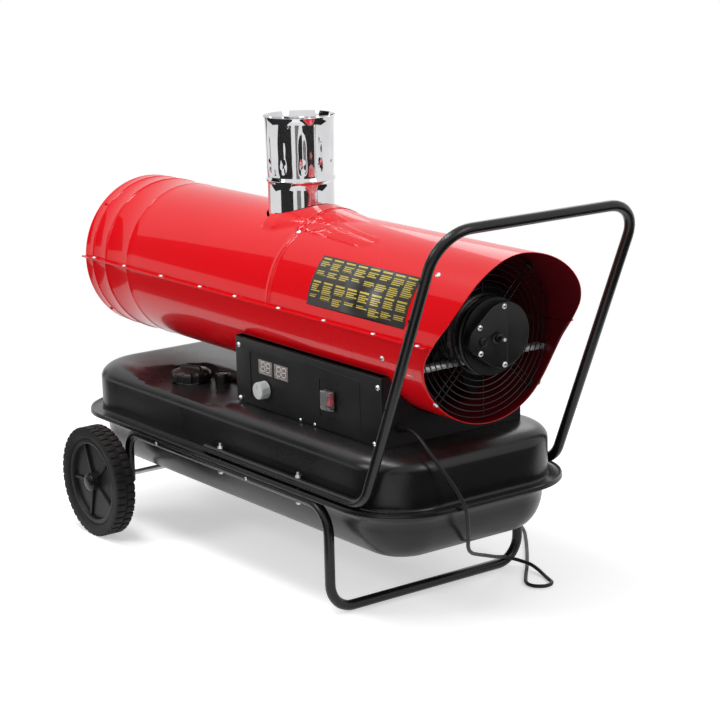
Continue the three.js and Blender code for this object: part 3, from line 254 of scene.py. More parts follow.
drift, given, sent = group("drift", [
    ("Vector", "NodeSocketVector", (0, 0, 0)), ("Color", "NodeSocketColor", (1, 1, 1, 1)),
    ("Other color", "NodeSocketColor", (1, 1, 1, 1)), ("Size", "NodeSocketFloat", 8.0),
    ("Low", "NodeSocketFloat", 0.3), ("High", "NodeSocketFloat", 0.5)],
    [("Color", "NodeSocketColor"), ("Roughness", "NodeSocketFloat")])
cloud = noise(drift.nodes, drift.links, given.outputs["Vector"], scale_from=given.outputs["Size"])
blend = drift.nodes.new("ShaderNodeMix")
blend.data_type = "RGBA"
drift.links.new(between(drift.nodes, drift.links, cloud, 0.0, 1.0), blend.inputs[0])
drift.links.new(given.outputs["Color"], blend.inputs[6])
drift.links.new(given.outputs["Other color"], blend.inputs[7])
drift.links.new(blend.outputs[2], sent.inputs["Color"])
drift.links.new(between(drift.nodes, drift.links, cloud, given.outputs["Low"], given.outputs["High"]),
                sent.inputs["Roughness"])

grain, given, sent = group("grain", [
    ("Vector", "NodeSocketVector", (0, 0, 0)), ("Size", "NodeSocketFloat", 900.0),
    ("Coarse share", "NodeSocketFloat", 0.3)], [("Height", "NodeSocketFloat")])
fine = noise(grain.nodes, grain.links, given.outputs["Vector"], scale_from=given.outputs["Size"], detail=2.0)
wide = noise(grain.nodes, grain.links, given.outputs["Vector"], scale=60.0, detail=1.0)
mix = grain.nodes.new("ShaderNodeMix")
grain.links.new(given.outputs["Coarse share"], mix.inputs[0])
grain.links.new(fine, mix.inputs[2])
grain.links.new(wide, mix.inputs[3])
grain.links.new(mix.outputs[0], sent.inputs["Height"])

dust, given, sent = group("dust", [
    ("Vector", "NodeSocketVector", (0, 0, 0)), ("Color", "NodeSocketColor", (1, 1, 1, 1)),
    ("Amount", "NodeSocketFloat", 0.1)], [("Color", "NodeSocketColor"), ("Mask", "NodeSocketFloat")])
geometry = dust.nodes.new("ShaderNodeNewGeometry")
split = dust.nodes.new("ShaderNodeSeparateXYZ")
dust.links.new(geometry.outputs["Normal"], split.inputs[0])
facing = dust.nodes.new("ShaderNodeMapRange")
facing.inputs["From Min"].default_value = 0.55
facing.inputs["From Max"].default_value = 1.0
dust.links.new(split.outputs["Z"], facing.inputs["Value"])
specks = between(dust.nodes, dust.links,
                 noise(dust.nodes, dust.links, given.outputs["Vector"], scale=24.0, detail=6.0), 0.2, 1.0)
times = dust.nodes.new("ShaderNodeMath")
times.operation = "MULTIPLY"
dust.links.new(facing.outputs["Result"], times.inputs[0])
dust.links.new(specks, times.inputs[1])
mask = dust.nodes.new("ShaderNodeMath")
mask.operation = "MULTIPLY"
dust.links.new(times.outputs[0], mask.inputs[0])
dust.links.new(given.outputs["Amount"], mask.inputs[1])
cover = dust.nodes.new("ShaderNodeMix")
cover.data_type = "RGBA"
cover.inputs[7].default_value = (0.34, 0.32, 0.29, 1)
dust.links.new(mask.outputs[0], cover.inputs[0])
dust.links.new(given.outputs["Color"], cover.inputs[6])
dust.links.new(cover.outputs[2], sent.inputs["Color"])
dust.links.new(mask.outputs[0], sent.inputs["Mask"])
print("node groups:", [tree.name for tree in bpy.data.node_groups])

# %% [markdown]
# One function builds a finish from the groups. Numbers that are the same all over a surface,
# such as metal or coat, are set on the shader's own sockets.

# %% Finish recipe
def use(nodes, tree, **values):
    node = nodes.new("ShaderNodeGroup")
    node.node_tree = tree
    for label, value in values.items():
        node.inputs[label.replace("_", " ")].default_value = value
    return node


def finish(name, color, other, rough, metal=0.0, coat=0.0, coat_rough=0.05, drift_size=8.0,
           grain_size=900.0, coarse=0.3, bump=0.05, depth=0.0004, dusty=0.0, specular=0.28):
    material, nodes, links = node_material(name)
    shader = nodes["Principled BSDF"]
    coords = nodes.new("ShaderNodeTexCoord").outputs["Object"]
    tone = use(nodes, drift, Color=(*color, 1), Other_color=(*other, 1), Size=drift_size,
               Low=rough[0], High=rough[1])
    links.new(coords, tone.inputs["Vector"])
    shade = tone.outputs["Color"]
    if dusty:
        film = use(nodes, dust, Amount=dusty)
        links.new(coords, film.inputs["Vector"])
        links.new(shade, film.inputs["Color"])
        shade = film.outputs["Color"]
    links.new(shade, shader.inputs["Base Color"])
    links.new(tone.outputs["Roughness"], shader.inputs["Roughness"])
    tooth = use(nodes, grain, Size=grain_size, Coarse_share=coarse)
    links.new(coords, tooth.inputs["Vector"])
    relief = nodes.new("ShaderNodeBump")
    relief.inputs["Strength"].default_value = bump
    relief.inputs["Distance"].default_value = depth
    links.new(tooth.outputs["Height"], relief.inputs["Height"])
    links.new(relief.outputs["Normal"], shader.inputs["Normal"])
    shader.inputs["Metallic"].default_value = metal
    shader.inputs["Coat Weight"].default_value = coat
    shader.inputs["Coat Roughness"].default_value = coat_rough
    shader.inputs["Specular IOR Level"].default_value = specular
    return material


# %% [markdown]
# The barrel is gloss powder coat: a deep red under a clear coat, with the faint waves that
# painters call orange peel. The black steel is satin. Polished steel is almost a mirror.

# %% Finishes by slot
FINISH = {
    "red_paint": finish("red_paint", (0.66, 0.003, 0.008), (0.63, 0.003, 0.007), (0.27, 0.29),
                        coat=0.45, specular=0.05, coat_rough=0.025, grain_size=260, coarse=0.75, bump=0.06, depth=0.0006,
                        drift_size=5),
    # A much darker copy of the red, for the inner faces of the barrel sheets. The darkness is painted shade: the shade
    # that falls inside the barrel and under the hood.
    "red_inside_painted_shade": finish("red_inside_painted_shade", (0.13, 0.003, 0.007), (0.08, 0.003, 0.006), (0.30, 0.42), coat=0.3,
                         coat_rough=0.12, specular=0.15, grain_size=400, bump=0.15, drift_size=6),
    "tube_paint": finish("tube_paint", (0.005, 0.005, 0.0055), (0.009, 0.009, 0.0095), (0.20, 0.30), specular=0.34,
                         grain_size=1400, bump=0.25, coarse=0.3, drift_size=9),
    "tank_paint": finish("tank_paint", (0.005, 0.005, 0.006), (0.009, 0.009, 0.010), (0.24, 0.34), specular=0.34,
                         grain_size=1300, bump=0.22, coarse=0.35, drift_size=5, dusty=0.02),
    "box_paint": finish("box_paint", (0.008, 0.008, 0.0085), (0.013, 0.013, 0.0135), (0.34, 0.46), specular=0.24,
                        grain_size=1500, bump=0.35, coarse=0.15, drift_size=10),
    "stainless": finish("stainless", (0.72, 0.72, 0.73), (0.63, 0.63, 0.645), (0.035, 0.075), metal=1.0,
                        grain_size=120, coarse=0.6, bump=0.03, depth=0.0006, drift_size=14),
    "zinc_steel": finish("zinc_steel", (0.82, 0.82, 0.83), (0.70, 0.70, 0.71), (0.26, 0.40), metal=0.8,
                         grain_size=700, bump=0.15, drift_size=60),
    "heat_steel": finish("heat_steel", (0.20, 0.18, 0.16), (0.11, 0.095, 0.10), (0.35, 0.55), metal=0.9,
                         grain_size=500, bump=0.2, drift_size=12),
    "cast_aluminium": finish("cast_aluminium", (0.13, 0.13, 0.135), (0.08, 0.08, 0.085), (0.30, 0.45),
                             metal=0.85, grain_size=800, bump=0.5, drift_size=30),
    "brass": finish("brass", (0.72, 0.50, 0.20), (0.60, 0.40, 0.15), (0.2, 0.35), metal=1.0, bump=0.1),
    "tyre_rubber": finish("tyre_rubber", (0.006, 0.006, 0.006), (0.012, 0.0115, 0.011), (0.55, 0.7), specular=0.2,
                          grain_size=700, bump=0.4, drift_size=30, dusty=0.04),
    "wheel_plastic": finish("wheel_plastic", (0.006, 0.006, 0.0065), (0.010, 0.010, 0.0105),
                            (0.36, 0.48), specular=0.2,
                            grain_size=1500, bump=0.35, drift_size=16),
    "hub_plastic": finish("hub_plastic", (0.004, 0.004, 0.0045), (0.007, 0.007, 0.0075), (0.2, 0.32),
                          grain_size=1500, bump=0.15),
    "black_plastic": finish("black_plastic", (0.006, 0.006, 0.0065), (0.011, 0.011, 0.0115), (0.26, 0.38),
                            grain_size=1300, bump=0.35, drift_size=22, dusty=0.04),
    "fan_plastic": finish("fan_plastic", (0.008, 0.008, 0.009), (0.013, 0.013, 0.014), (0.35, 0.5), bump=0.2),
    "seal_rubber": finish("seal_rubber", (0.02, 0.02, 0.02), (0.03, 0.03, 0.03), (0.6, 0.8), bump=0.3),
    "cord_rubber": finish("cord_rubber", (0.005, 0.005, 0.0055), (0.009, 0.009, 0.0095), (0.40, 0.54), specular=0.24,
                          grain_size=1800, bump=0.3, drift_size=40),
    "knob_plastic": finish("knob_plastic", (0.50, 0.52, 0.51), (0.42, 0.44, 0.435), (0.38, 0.5),
                           grain_size=1500, bump=0.3, drift_size=40),
    "display_plastic": finish("display_plastic", (0.20, 0.175, 0.17), (0.15, 0.13, 0.125), (0.12, 0.2),
                              grain_size=1600, bump=0.05, drift_size=50),
    "switch_red": finish("switch_red", (0.52, 0.010, 0.020), (0.40, 0.008, 0.016), (0.2, 0.3), bump=0.1),
    "board_green": finish("board_green", (0.02, 0.13, 0.05), (0.015, 0.09, 0.04), (0.3, 0.45), bump=0.2),
    "transformer_black": finish("transformer_black", (0.02, 0.02, 0.02), (0.03, 0.03, 0.03), (0.4, 0.6)),
    "ceramic": finish("ceramic", (0.74, 0.72, 0.66), (0.66, 0.64, 0.58), (0.2, 0.35), bump=0.1),
}
clear_plastic = finish("clear_shield", (0.93, 0.93, 0.94), (0.88, 0.88, 0.90), (0.03, 0.08), bump=0.02, specular=0.5)
clear_plastic.node_tree.nodes["Principled BSDF"].inputs["Transmission Weight"].default_value = 0.93
clear_plastic.node_tree.nodes["Principled BSDF"].inputs["IOR"].default_value = 1.3
FINISH["clear_shield"] = clear_plastic
FINISH["digit"] = finish("digit", (0.56, 0.53, 0.51), (0.48, 0.455, 0.44), (0.3, 0.4), bump=0.05)
print("finishes:", len(FINISH))

# %% [markdown]
# The CAD nodes that keep their own shape take the finish of their slot in the record.

# %% Dress the CAD nodes
for part in frame["record"]["subparts"]:
    node = frame["nodes"][part["node"]]
    node.data.materials.clear()
    node.data.materials.append(FINISH[part["material_slot"]])
print("dressed CAD nodes:", len(frame["nodes"]))

# %% [markdown]
# ## Small tools for shapes
# Shapes are drawn in millimetres, because that is how such parts are dimensioned, and scaled
# to metres when the piece is finished. A lathe spins a profile, a block bevels a cube, a
# prism pushes an outline out, and a tube sweeps a round section along a path.

# %% Shape tools
AXES = {"x": (Vector((1, 0, 0)), Vector((0, 1, 0))), "y": (Vector((0, 1, 0)), Vector((1, 0, 0))),
        "z": (Vector((0, 0, 1)), Vector((1, 0, 0)))}
made = []


def join(*meshes):
    first = meshes[0]
    for other in meshes[1:]:
        carrier = bpy.data.meshes.new("carrier")
        other.to_mesh(carrier)
        first.from_mesh(carrier)
        bpy.data.meshes.remove(carrier)
        other.free()
    return first


def round_edges(bm, edges, size, segments=3):
    bmesh.ops.bevel(bm, geom=list(edges), offset=size, offset_type="OFFSET", affect="EDGES",
                    segments=segments, profile=0.5, material=-1, clamp_overlap=True)
    return bm


def lathe(profile, axis, centre, steps=48, closed=False, start=0.0, angle=360.0):
    bm = bmesh.new()
    along, out = AXES[axis]
    out = Matrix.Rotation(math.radians(start), 3, along) @ out
    verts = [bm.verts.new(Vector(centre) + along * h + out * r) for r, h in profile]
    pairs = list(zip(verts, verts[1:])) + ([(verts[-1], verts[0])] if closed else [])
    edges = [bm.edges.new(pair) for pair in pairs]
    bmesh.ops.spin(bm, geom=verts + edges, cent=centre, axis=along, dvec=(0, 0, 0),
                   angle=math.radians(angle), steps=steps, use_merge=angle == 360.0, use_duplicate=False)
    bmesh.ops.remove_doubles(bm, verts=bm.verts, dist=0.001)
    bmesh.ops.recalc_face_normals(bm, faces=bm.faces)
    return bm


def block(x0, x1, y0, y1, z0, z1, bevel=0.0, segments=3):
    bm = bmesh.new()
    bmesh.ops.create_cube(bm, size=1)
    bmesh.ops.scale(bm, vec=(x1 - x0, y1 - y0, z1 - z0), verts=bm.verts)
    bmesh.ops.translate(bm, vec=((x0 + x1) / 2, (y0 + y1) / 2, (z0 + z1) / 2), verts=bm.verts)
    if bevel:
        round_edges(bm, bm.edges, bevel, segments)
    return bm


def prism(outline, push, bevel=0.0, segments=3):
    bm = bmesh.new()
    face = bm.faces.new([bm.verts.new(p) for p in outline])
    grown = bmesh.ops.extrude_face_region(bm, geom=[face])["geom"]
    bmesh.ops.translate(bm, vec=push, verts=[g for g in grown if isinstance(g, bmesh.types.BMVert)])
    bmesh.ops.recalc_face_normals(bm, faces=bm.faces)
    if bevel:
        round_edges(bm, bm.edges, bevel, segments)
    return bm


def turned_to(bm, direction, place):
    aim = Vector((0, 0, 1)).rotation_difference(Vector(direction)).to_matrix()
    bmesh.ops.rotate(bm, cent=(0, 0, 0), matrix=aim, verts=bm.verts)
    bmesh.ops.translate(bm, vec=place, verts=bm.verts)
    return bm


def rounded_path(corners, steps=10):
    """Straight runs joined by arcs. Each corner is (x, y, z, radius); the ends have no radius."""
    points = [Vector(corners[0][:3])]
    for before, corner, after in zip(corners, corners[1:], corners[2:]):
        p = Vector(corner[:3])
        a = (Vector(before[:3]) - p).normalized()
        b = (Vector(after[:3]) - p).normalized()
        half = a.angle(b) / 2
        centre = p + (a + b).normalized() * (corner[3] / math.sin(half))
        reach = corner[3] / math.tan(half)
        start, end = p + a * reach - centre, p + b * reach - centre
        spin_axis = start.cross(end).normalized()
        sweep = start.angle(end)
        points += [centre + Matrix.Rotation(sweep * k / steps, 3, spin_axis) @ start for k in range(steps + 1)]
    return points + [Vector(corners[-1][:3])]


def tube(points, radius, closed=False, resolution=4):
    """A round bar along points, from a bevelled curve turned into a mesh."""
    curve = bpy.data.curves.new("run", "CURVE")
    curve.dimensions = "3D"
    curve.bevel_depth = radius
    curve.bevel_resolution = resolution
    curve.use_fill_caps = not closed
    spline = curve.splines.new("POLY")
    spline.points.add(len(points) - 1)
    for place, point in zip(spline.points, points):
        place.co = (*point, 1)
    spline.use_cyclic_u = closed
    carrier = bpy.data.objects.new("run", curve)
    scene.collection.objects.link(carrier)
    mesh = bpy.data.meshes.new_from_object(carrier.evaluated_get(bpy.context.evaluated_depsgraph_get()))
    bm = bmesh.new()
    bm.from_mesh(mesh)
    bpy.data.objects.remove(carrier)
    bpy.data.curves.remove(curve)
    bpy.data.meshes.remove(mesh)
    bmesh.ops.remove_doubles(bm, verts=bm.verts, dist=0.001)
    bmesh.ops.recalc_face_normals(bm, faces=bm.faces)
    return bm


def keep(bm, name, body, slot, stands_for=(), crease=34.0, material=None):
    """Scales a finished shape to metres and makes it a piece of the object."""
    bmesh.ops.scale(bm, vec=(0.001, 0.001, 0.001), verts=bm.verts)
    mesh = bpy.data.meshes.new(name)
    bm.to_mesh(mesh)
    bm.free()
    mesh.materials.append(material or FINISH[slot])
    mesh.polygons.foreach_set("use_smooth", [True] * len(mesh.polygons))
    mesh.set_sharp_from_angle(angle=math.radians(crease))
    obj = bpy.data.objects.new(name, mesh)
    scene.collection.objects.link(obj)
    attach(obj, body)
    if stands_for:
        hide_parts(*stands_for)
    made.append(name)
    print(f"{name}: {len(mesh.polygons)} faces")
    return obj


def carve(obj, cutter):
    """Cuts a tool shape out of a piece and leaves a plain mesh."""
    bmesh.ops.scale(cutter, vec=(0.001, 0.001, 0.001), verts=cutter.verts)
    tool_mesh = bpy.data.meshes.new("tool")
    cutter.to_mesh(tool_mesh)
    cutter.free()
    tool = bpy.data.objects.new("tool", tool_mesh)
    scene.collection.objects.link(tool)
    modifier = obj.modifiers.new("cut", "BOOLEAN")
    modifier.operation = "DIFFERENCE"
    modifier.solver = "EXACT"
    modifier.object = tool
    bpy.context.view_layer.update()
    mesh = bpy.data.meshes.new_from_object(obj.evaluated_get(bpy.context.evaluated_depsgraph_get()))
    obj.modifiers.clear()
    old = obj.data
    obj.data = mesh
    mesh.name = old.name
    mesh.polygons.foreach_set("use_smooth", [True] * len(mesh.polygons))
    mesh.set_sharp_from_angle(angle=math.radians(34))
    bpy.data.meshes.remove(old)
    bpy.data.objects.remove(tool)
    bpy.data.meshes.remove(tool_mesh)


# %% [markdown]
# ## Mains cord
# A rubber cord 8 mm thick leaves a tapered gland on the box, drops over the rear of the tank,
# runs under the foot bar, makes one loose loop on the floor and goes behind the tank. What
# the photograph doesn't show is wound into a small round coil there. It is one smooth curve
# through the points of its route, so that its length can be measured.

# %% Cord
CORD_ROUTE = [(457.3, -135, 396), (467, -135, 396),
              (484, -135.5, 392.5), (507, -137, 381), (531, -137, 363), (552, -129, 338), (565, -114, 308),
              (571, -99, 281), (573, -88, 260), (571, -79, 239), (557, -64, 206), (530, -42, 166),
              (503, -20, 136), (478, 8, 113), (449, 47, 93), (416, 100, 70), (382, 155, 46), (361, 188, 33),
              (352, 207, 26), (360, 223, 20.5), (376, 234, 16.5), (394, 239.5, 14), (414, 240, 10),
              (436, 236, 6.2), (456, 230, 4), (473, 223.5, 4), (491.7, 215, 4), (499.5, 197, 4),
              (491.7, 179, 4), (474, 170.5, 4), (455, 176, 4), (434, 193, 4), (410, 215, 4), (385, 239, 4),
              (340, 279, 4), (298, 315, 4), (233, 368, 4), (187, 402, 4), (150, 420, 4), (112, 424, 4),
              (74, 414, 4), (38, 396, 4), (0, 379, 4), (-45, 368.5, 4), (-90, 366.3, 4)]


def coil_points(x=-110, y=318, radius=44, pitch=8.6, lead=44, per_turn=24):
    """One turn in on the floor, half a turn of climb, and one turn out on top."""
    edge, points = radius + pitch / 2, []
    for i in range(int(2.5 * per_turn) + 1):
        t = i / per_turn
        climb = min(max((t - 1) / 0.5, 0), 1)
        r = edge - pitch * t
        if climb > 0:
            r = edge - pitch - pitch * 0.5 * min(climb, 1 - climb)
        if t > 1.5:
            r = edge - pitch + pitch * (t - 1.5)
        a = math.pi / 2 + t * 2 * math.pi
        points.append((x + r * math.cos(a), y + r * math.sin(a), 4 + pitch * climb * climb * (3 - 2 * climb)))
    last = points[-1]
    return points + [(x + lead / 2, last[1], last[2]), (x + lead, last[1], last[2])]


cord_curve = bpy.data.curves.new("mains_cord", "CURVE")
cord_curve.dimensions = "3D"
cord_curve.bevel_depth = 0.004
cord_curve.bevel_resolution = 4
cord_curve.resolution_u = 6
cord_curve.use_fill_caps = True
cord_points = [Vector(p) * 0.001 for p in CORD_ROUTE + coil_points()]
run = cord_curve.splines.new("BEZIER")
run.bezier_points.add(len(cord_points) - 1)
for knot, point in zip(run.bezier_points, cord_points):
    knot.co = point
    knot.handle_left_type = knot.handle_right_type = "AUTO"
cord_curve.materials.append(FINISH["cord_rubber"])
mains_cord = bpy.data.objects.new("mains_cord", cord_curve)
scene.collection.objects.link(mains_cord)
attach(mains_cord, "heater")
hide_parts("cord", "cord_coil")

# %% [markdown]
# ## Barrel shells
# Two rolled sheets meet in a seam with flanges on both sides. Rings are pressed into the
# sheet to stiffen it. The fan end is cut on a slant, so that it makes a hood on top. A spin of
# one edge profile makes each sheet. Then its rear points slide along the barrel to the
# slanted rim, and a boolean cut opens the hole for the flue.

# %% Barrel sheets
AXIS_Z, RADIUS, FRONT, HOOD_FROM, HOOD_TO = 582, 178.5, -720, 470, 658
RIM = [(-90, 549), (-58, 549), (-28, 550), (-10, 566), (5, 599), (20, 633), (36, 652), (60, 658), (90, 652)]
FLUE_X, FLUE_R = -76, 72


def rim_at(angle):
    """Where the rear rim lies, for an angle above the horizontal."""
    if angle > 90:
        angle = 180 - angle
    if angle < -90:
        angle = -180 - angle
    slopes = [0.0] + [(c[1] - a[1]) / (c[0] - a[0]) for a, c in zip(RIM, RIM[2:])] + [0.0]
    for k, ((a0, x0), (a1, x1)) in enumerate(zip(RIM, RIM[1:])):
        if angle <= a1:
            wide = a1 - a0
            t = max(0.0, (angle - a0) / wide)
            return (x0 * (1 + 2 * t) * (1 - t) ** 2 + x1 * t * t * (3 - 2 * t)
                    + slopes[k] * wide * t * (1 - t) ** 2 + slopes[k + 1] * wide * t * t * (t - 1))
    return RIM[-1][1]


def bead(x, width, height):
    return [(x - width, 0), (x - width * 0.6, height * 0.25), (x - width * 0.25, height * 0.9),
            (x + width * 0.25, height * 0.9), (x + width * 0.6, height * 0.25), (x + width, 0)]


def sheet_profile(joint):
    stations = [(FRONT, -1.5), (FRONT + 0.6, 0.3), (FRONT + 2.5, 1.0), (FRONT + 5, 0.4), (FRONT + 8, 0)]
    for x, width, height in ((-685, 5, 2.2), (-626, 7, 3.0), (-532, 3, 0.9)):
        stations += bead(x, width, height)
    stations += [(x, 0) for x in range(-510, -180, 24)] + [(x, 0) for x in range(-176, 34, 6)]
    if joint:
        stations += bead(40, 2.6, 1.7) + bead(48, 2.6, 1.5)
    stations += [(x, 0) for x in range(58, 190, 6)] + [(x, 0) for x in range(200, HOOD_FROM, 27)]
    stations += [(HOOD_FROM + (HOOD_TO - HOOD_FROM) * k / 10, 0) for k in range(11)]
    return [(RADIUS + bump, x) for x, bump in stations]


def shape_sheet(bm, saddle):
    """Slides the rear points to the slanted rim, and presses the ramp behind the flue."""
    for vert in bm.verts:
        x, y, z = vert.co
        angle = math.degrees(math.atan2(z - AXIS_Z, y))
        if x > HOOD_FROM:
            vert.co.x = HOOD_FROM + (x - HOOD_FROM) / (HOOD_TO - HOOD_FROM) * (rim_at(angle) - HOOD_FROM)
        if saddle and FLUE_X - 6 < x < 180:
            t = max(0.0, min(1.0, (x - (FLUE_X + 34)) / 222))
            half = 33 * (1 - t) + 2.5
            across = abs(angle - 90) / half
            if across < 1:
                lift = (17 * (1 - t) + 1.5) * (1 - across * across) ** 0.75 * (1 - t * t * t)
                vert.co += Vector((0, y, z - AXIS_Z)).normalized() * lift
    return bm


def seam_strips(z0, z1):
    return [block(FRONT + 3, 585, side * RADIUS - 0.6 if side > 0 else -RADIUS - 13,
                  RADIUS + 13 if side > 0 else -RADIUS + 0.6, z0, z1, 0.5, 2) for side in (-1, 1)]


def finish_sheet(name, bm, slot_nodes):
    bmesh.ops.recalc_face_normals(bm, faces=bm.faces)
    if sum(f.normal.dot(f.calc_center_median() - Vector((f.calc_center_median().x, 0, AXIS_Z)))
           for f in bm.faces) < 0:
        bmesh.ops.reverse_faces(bm, faces=bm.faces)
    obj = keep(bm, name, "heater", "red_paint", slot_nodes, crease=40)
    wall = obj.modifiers.new("wall", "SOLIDIFY")
    wall.thickness = 0.0012
    wall.offset = -1
    # The inner faces take the darker red, which is painted shade.
    obj.data.materials.append(FINISH["red_inside_painted_shade"])
    wall.material_offset = 1
    return obj


top_bm = shape_sheet(lathe(sheet_profile(True), "x", (0, 0, AXIS_Z), steps=110, start=2.3, angle=175.4), True)
top_sheet = finish_sheet("top_sheet", top_bm, ("upper_shell",))
carve(top_sheet, lathe([(0, 60), (FLUE_R + 4.5, 60), (FLUE_R + 4.5, 300), (0, 300)], "z",
                       (FLUE_X, 0, AXIS_Z), steps=72))
low_bm = shape_sheet(lathe(sheet_profile(False), "x", (0, 0, AXIS_Z), steps=110, start=182.3 - 4.5,
                           angle=184.4), False)
finish_sheet("low_sheet", low_bm, ("lower_shell",))
keep(join(*seam_strips(589.2, 590.8)), "top_seam", "heater", "red_paint")
keep(join(*seam_strips(587.2, 588.8)), "low_seam", "heater", "red_paint")

# %% [markdown]
# ## Screws
# Pan-head screws join the seam, the rims and the panel. One small lathe profile makes the
# head, and two narrow dark bars let into it make the cross. Their black is painted shade,
# standing for the shade in the cross recess.

# %% Screw heads
def pan_head(place, direction, radius=6.0, height=3.6):
    dome = [(0, height), (radius * 0.45, height * 0.94), (radius * 0.8, height * 0.66),
            (radius * 0.97, height * 0.25), (radius, 0), (radius * 0.9, -1.0), (0, -1.0)]
    return turned_to(lathe(dome, "z", (0, 0, 0), steps=20), direction, place)


# Two narrow black bars in the top of the head: painted shade for the cross recess.
def cross_slot_shade(place, direction, radius=6.0, height=3.6):
    bars = [block(-radius * 0.5, radius * 0.5, -radius * 0.12, radius * 0.12, height * 0.6, height * 0.985),
            block(-radius * 0.12, radius * 0.12, -radius * 0.5, radius * 0.5, height * 0.6, height * 0.985)]
    return turned_to(join(*bars), direction, place)


def screws(name, places, slot="zinc_steel", radius=6.0, height=3.6, body="heater"):
    keep(join(*[pan_head(p, d, radius, height) for p, d in places]), name, body, slot)
    # The dark bars of the crosses are painted shade for the cross recesses.
    keep(join(*[cross_slot_shade(p, d, radius, height * 1.02) for p, d in places]), name + "_slot_shade", body,
         "black_plastic")


def on_barrel(x, angle, proud=0.0):
    a = math.radians(angle)
    out = Vector((0, math.cos(a), math.sin(a)))
    return Vector((x, 0, AXIS_Z)) + out * (RADIUS + proud), out


seam_x = (-666, -529, -368, -207, -69, 94, 255, 420, 560)
screws("seam_screws", [((x, side * (RADIUS + 7.5), 591.0), (0, 0, 1)) for x in seam_x for side in (-1, 1)],
       radius=5.2, height=3.4)
screws("barrel_screws", [on_barrel(*place) for place in
                         ((540, 131), (432, -167), (546, -138), (540, 49), (432, -13), (546, -42),
                          (45, 122), (45, 58))])
screws("lip_screws", [on_barrel(-702, a) for a in (45, 135, 225, 315)], slot="red_paint", radius=4.0)

# %% [markdown]
# ## Hot air outlet
# A pressed ring narrows the front mouth and stiffens the lip. It is a single turned section.
# The combustion chamber shows through it as a heat-tinted domed drum.

# %% Outlet ring and chamber
INNER = RADIUS - 1.2
keep(lathe([(INNER - 2, -664), (INNER - 1.2, -700), (INNER - 2, -712), (INNER - 8, -717.5), (INNER - 22, -717.5),
            (INNER - 34, -711), (INNER - 58, -700), (INNER - 60, -701.5), (INNER - 36, -713),
            (INNER - 22, -719.2), (INNER - 6, -719.2), (INNER - 0.6, -713), (INNER - 0.4, -664)],
           "x", (0, 0, AXIS_Z), steps=96, closed=True), "outlet_ring_red", "heater", "red_paint", ("outlet_ring",))

# %% [markdown]
# ## Flue
# The chimney stub is polished stainless sheet. A bead is rolled in at a third of its height.
# Above the bead the sheet is crimped, so that the next pipe slides on: the crimps are deepest
# just above the bead and fade out toward the rim. The spin makes a plain pipe, and each ring of
# points then moves in and out by a wave that grows and fades.

# %% Flue
def crimped(bm, count=11):
    for vert in bm.verts:
        x, y, z = vert.co
        out = Vector((x - FLUE_X, y, 0)).normalized()
        angle = math.atan2(y, x - FLUE_X)
        if 838 < z < 945:
            deep = math.exp(-((z - 858) / 13) ** 2) + 0.5 * math.exp(-((z - 896) / 26) ** 2)
            wave = max(0.0, math.cos(count * angle + 0.35 * math.sin(3 * angle))) ** 2
            vert.co -= out * deep * (4.2 * wave) - out * (0.5 * deep)
    return bm


flue_wall = [(FLUE_R, 716), (FLUE_R, 760), (FLUE_R, 800), (FLUE_R, 817), (FLUE_R + 0.8, 820), (FLUE_R + 2.6, 822.5),
             (FLUE_R + 3.2, 825), (FLUE_R + 2.6, 827.5), (FLUE_R + 0.8, 830), (FLUE_R, 833)]
flue_wall += [(FLUE_R + 0.2 + (z - 833) * 0.022, z) for z in range(838, 950, 4)]
flue_wall += [(FLUE_R + 3.4, 952), (FLUE_R + 4.4, 957), (FLUE_R + 5.6, 960.5), (FLUE_R + 5.9, 961.8)]
flue_bm = crimped(lathe(flue_wall, "z", (FLUE_X, 0, 0), steps=176))
if sum(f.normal.dot(f.calc_center_median() - Vector((FLUE_X, 0, f.calc_center_median().z)))
       for f in flue_bm.faces) < 0:
    bmesh.ops.reverse_faces(flue_bm, faces=flue_bm.faces)
flue = keep(flue_bm, "flue_pipe", "heater", "stainless", ("flue",), crease=60)
wall = flue.modifiers.new("wall", "SOLIDIFY")
wall.thickness = 0.0009
wall.offset = -1

# %% [markdown]
# Two small holes near the rim take the screws of the next pipe. A boolean with a thin rod
# drills both.

# %% Holes in the flue
HOLE_TURN = math.radians(-53)
drill_dir = Vector((math.cos(HOLE_TURN), math.sin(HOLE_TURN), 0))
rods = [turned_to(lathe([(0, -90), (3.0, -90), (3.0, 90), (0, 90)], "z", (0, 0, 0), steps=20), drill_dir,
                  (FLUE_X, 0, 944))]
carve(flue, join(*rods))

# %% [markdown]
# ## Instruction plate
# The real plate is printed on a dark foil that follows the barrel. Here it holds only plain
# bars and blocks in the same yellow, in the same rows. The foil is a narrow spin about the
# barrel's axis. Its own UV map runs along the barrel and round it, and the bars follow that.

# %% Plate and its bars
PLATE = {"x0": 182, "x1": 506, "a0": 135.5, "a1": 170.0}


